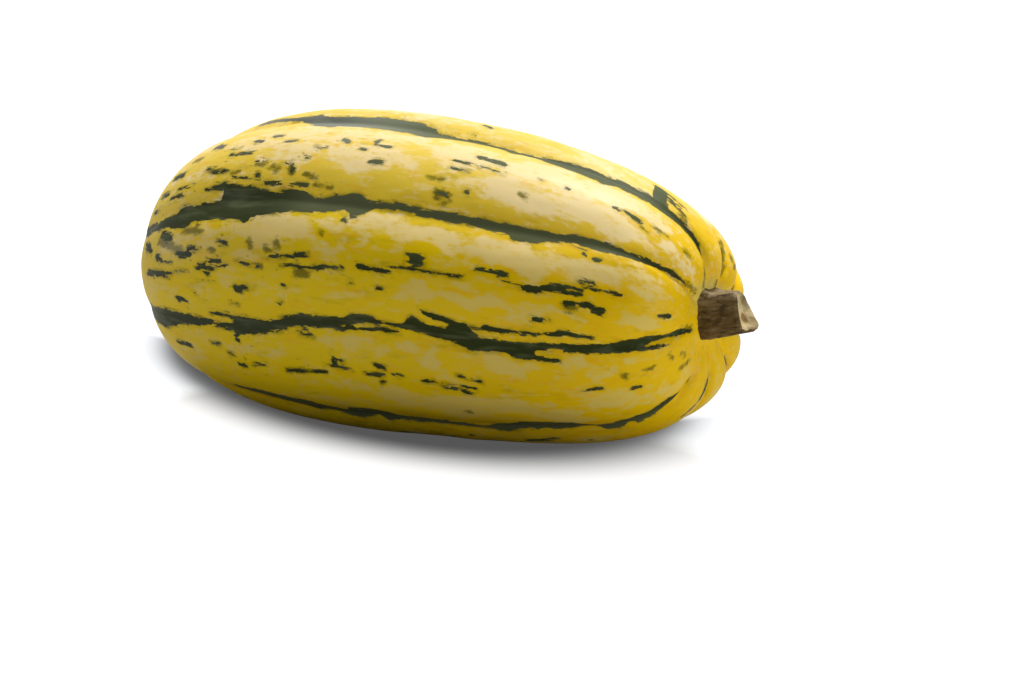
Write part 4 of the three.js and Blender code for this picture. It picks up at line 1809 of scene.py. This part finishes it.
@dataclass
class Studio:
    """White floor, three broad lights and the camera."""

    shape: FruitShape
    floor_size: float = 6.0
    floor_sink: float = 0.0001
    sky: float = 0.03
    backdrop: float = 1.0
    backdrop_place: tuple[float, float] = (0.9, 0.44)
    backdrop_edge: tuple[float, float] = (0.1, 0.8)

    # The oval painted shade under the fruit. Its edges are in half sizes, and it fades to the rear.
    front_pool: Pool = Pool(-0.0719, 0.0684, 0.134, 0.0706, -30.0)
    under_pool: Pool = Pool(-0.0450, 0.0120, 0.135, 0.0660)
    pool_edge: tuple[float, float] = (0.946, 1.279)
    rear_edge: tuple[float, float] = (0.030, 0.082)
    glow: tuple[float, float] = (0.09, 1.0)
    bounce: tuple[float, float] = (0.13, 0.50)
    lit_edge: tuple[float, float] = (1.0, 1.12)
    shaded: Colour = (0.012, 0.013, 0.014, 1.0)
    lit: Colour = (0.25, 0.26, 0.28, 1.0)

    lamps: tuple[Lamp, ...] = (
        Lamp("above", 108.0, 69.0, 22.0, 3.85),
        Lamp("stem_side", -7.0, 2.0, 30.0, 2.0),
        Lamp("blossom_side", 203.0, 1.0, 30.0, 1.23),
    )
    distance: float = 0.600
    elevation: float = 9.0
    azimuth: float = 38.8
    focal: float = 73.74
    sensor: float = 36.0
    aim: tuple[float, float] = (-0.03753, 0.03095)

    def build(self) -> None:
        """Builds the whole studio."""
        self._floor()
        self._sky()
        for lamp in self.lamps:
            lamp.build()
        self._camera()
        bpy.context.scene.view_settings.view_transform = "Standard"

    def _floor(self) -> None:
        """A white floor that throws little light back up at the fruit."""
        mesh = bmesh.new()
        bmesh.ops.create_grid(mesh, x_segments=1, y_segments=1, size=self.floor_size)
        bmesh.ops.translate(mesh, verts=mesh.verts[:], vec=(0.0, 0.0, -self.floor_sink))
        data = bpy.data.meshes.new("floor")
        mesh.to_mesh(data)
        mesh.free()
        data.materials.append(self._floor_finish())
        floor = bpy.data.objects.new("floor", data)
        bpy.context.scene.collection.objects.link(floor)

    def _floor_finish(self) -> bpy.types.Material:
        """White for the eye but for the painted shade under the fruit, and greyer for bounced
        light, darkest near the fruit as painted shade.

        Returns:
            The floor's material.
        """
        material, graph, shader = new_material("white_floor")
        seen = graph.node("ShaderNodeLightPath").outputs["Is Camera Ray"]
        place = graph.node("ShaderNodeTexCoord").outputs["Object"]
        depth = graph.node("ShaderNodeSeparateXYZ", {0: place}).outputs["Y"]
        pools = [pool.reach(graph, place) for pool in (self.front_pool, self.under_pool)]
        away = graph.math("MAXIMUM", *pools)
        # Painted shade in the bounced light: the floor throws back less near the fruit.
        bounced = Fade(*self.pool_edge, *self.bounce).of(graph, away)
        away = graph.math("MAXIMUM", away, Fade(*self.rear_edge, *self.pool_edge).of(graph, depth))
        colour = graph.mix(Fade(*self.lit_edge).of(graph, away), self.shaded, self.lit)
        graph.feed(shader.inputs["Base Color"], graph.mix(seen, bounced, colour))
        shader.inputs["Roughness"].default_value = 1.0
        shader.inputs["Specular IOR Level"].default_value = 0.0
        shader.inputs["Emission Color"].default_value = (1.0, 1.0, 1.0, 1.0)
        glow = Fade(*self.pool_edge, *self.glow).of(graph, away)
        graph.feed(shader.inputs["Emission Strength"], graph.product(glow, seen))
        return material

    def _sky(self) -> None:
        """Even light from all round. The white backdrop is there for the eye and in reflections."""
        world = bpy.data.worlds.new("studio")
        world.use_nodes = True
        bpy.context.scene.world = world
        graph = Graph(world.node_tree)
        path = graph.node("ShaderNodeLightPath").outputs
        behind = math.radians(self.azimuth + 90.0)
        level, upward = self.backdrop_place
        middle = (level * math.cos(behind), level * math.sin(behind), upward)
        direction = graph.node("ShaderNodeTexCoord").outputs["Generated"]
        facing = graph.vector("DOT_PRODUCT", direction, middle).outputs["Value"]
        white = Fade(*self.backdrop_edge, 0.0, self.backdrop - self.sky).of(graph, facing)
        glossy = graph.math("MULTIPLY_ADD", path["Is Glossy Ray"], white, self.sky)
        strength = graph.math("MULTIPLY_ADD", path["Is Camera Ray"], 1.0 - self.sky, glossy)
        background = world.node_tree.nodes["Background"]
        background.inputs["Color"].default_value = (1.0, 1.0, 1.0, 1.0)
        graph.feed(background.inputs["Strength"], strength)

    def _camera(self) -> None:
        """The camera, level, with the fruit left of the middle and above it."""
        turn, rise = math.radians(self.azimuth), math.radians(self.elevation)
        right = Vector((math.cos(turn), math.sin(turn), 0.0))
        ahead = Vector((-math.sin(turn), math.cos(turn), 0.0))
        across, above = self.aim
        length = math.sqrt(1.0 + across**2 + above**2)
        pitch = math.asin(-length * math.sin(rise) / math.hypot(1.0, above)) - math.atan(above)
        yaw = math.atan2(across, math.cos(pitch) - above * math.sin(pitch))
        level = ahead * math.cos(yaw) - right * math.sin(yaw)
        forward = level * math.cos(pitch) + Vector((0.0, 0.0, math.sin(pitch)))
        side = forward.cross(Vector((0.0, 0.0, 1.0))).normalized()
        upward = side.cross(forward)
        sight = ahead * math.cos(rise) - Vector((0, 0, math.sin(rise)))
        place = Vector(self.shape.axis) * MM - sight * self.distance
        data = bpy.data.cameras.new("camera")
        data.lens = self.focal
        data.sensor_width = self.sensor
        camera = bpy.data.objects.new("camera", data)
        rotation = Matrix((side, upward, -forward)).transposed()
        camera.matrix_world = Matrix.Translation(place) @ rotation.to_4x4()
        bpy.context.scene.collection.objects.link(camera)
        bpy.context.scene.camera = camera


def main() -> None:
    """Builds the squash and its studio."""
    logging.basicConfig(level=logging.INFO, format="%(name)s: %(message)s", force=True)
    shape = FruitShape()
    blocks = blocky_group()
    Fruit(shape).build(RindFinish(), blocks)
    Stem(shape).build(StemFinish(), blocks)
    Studio(shape).build()


if __name__ == "__main__":
    main()
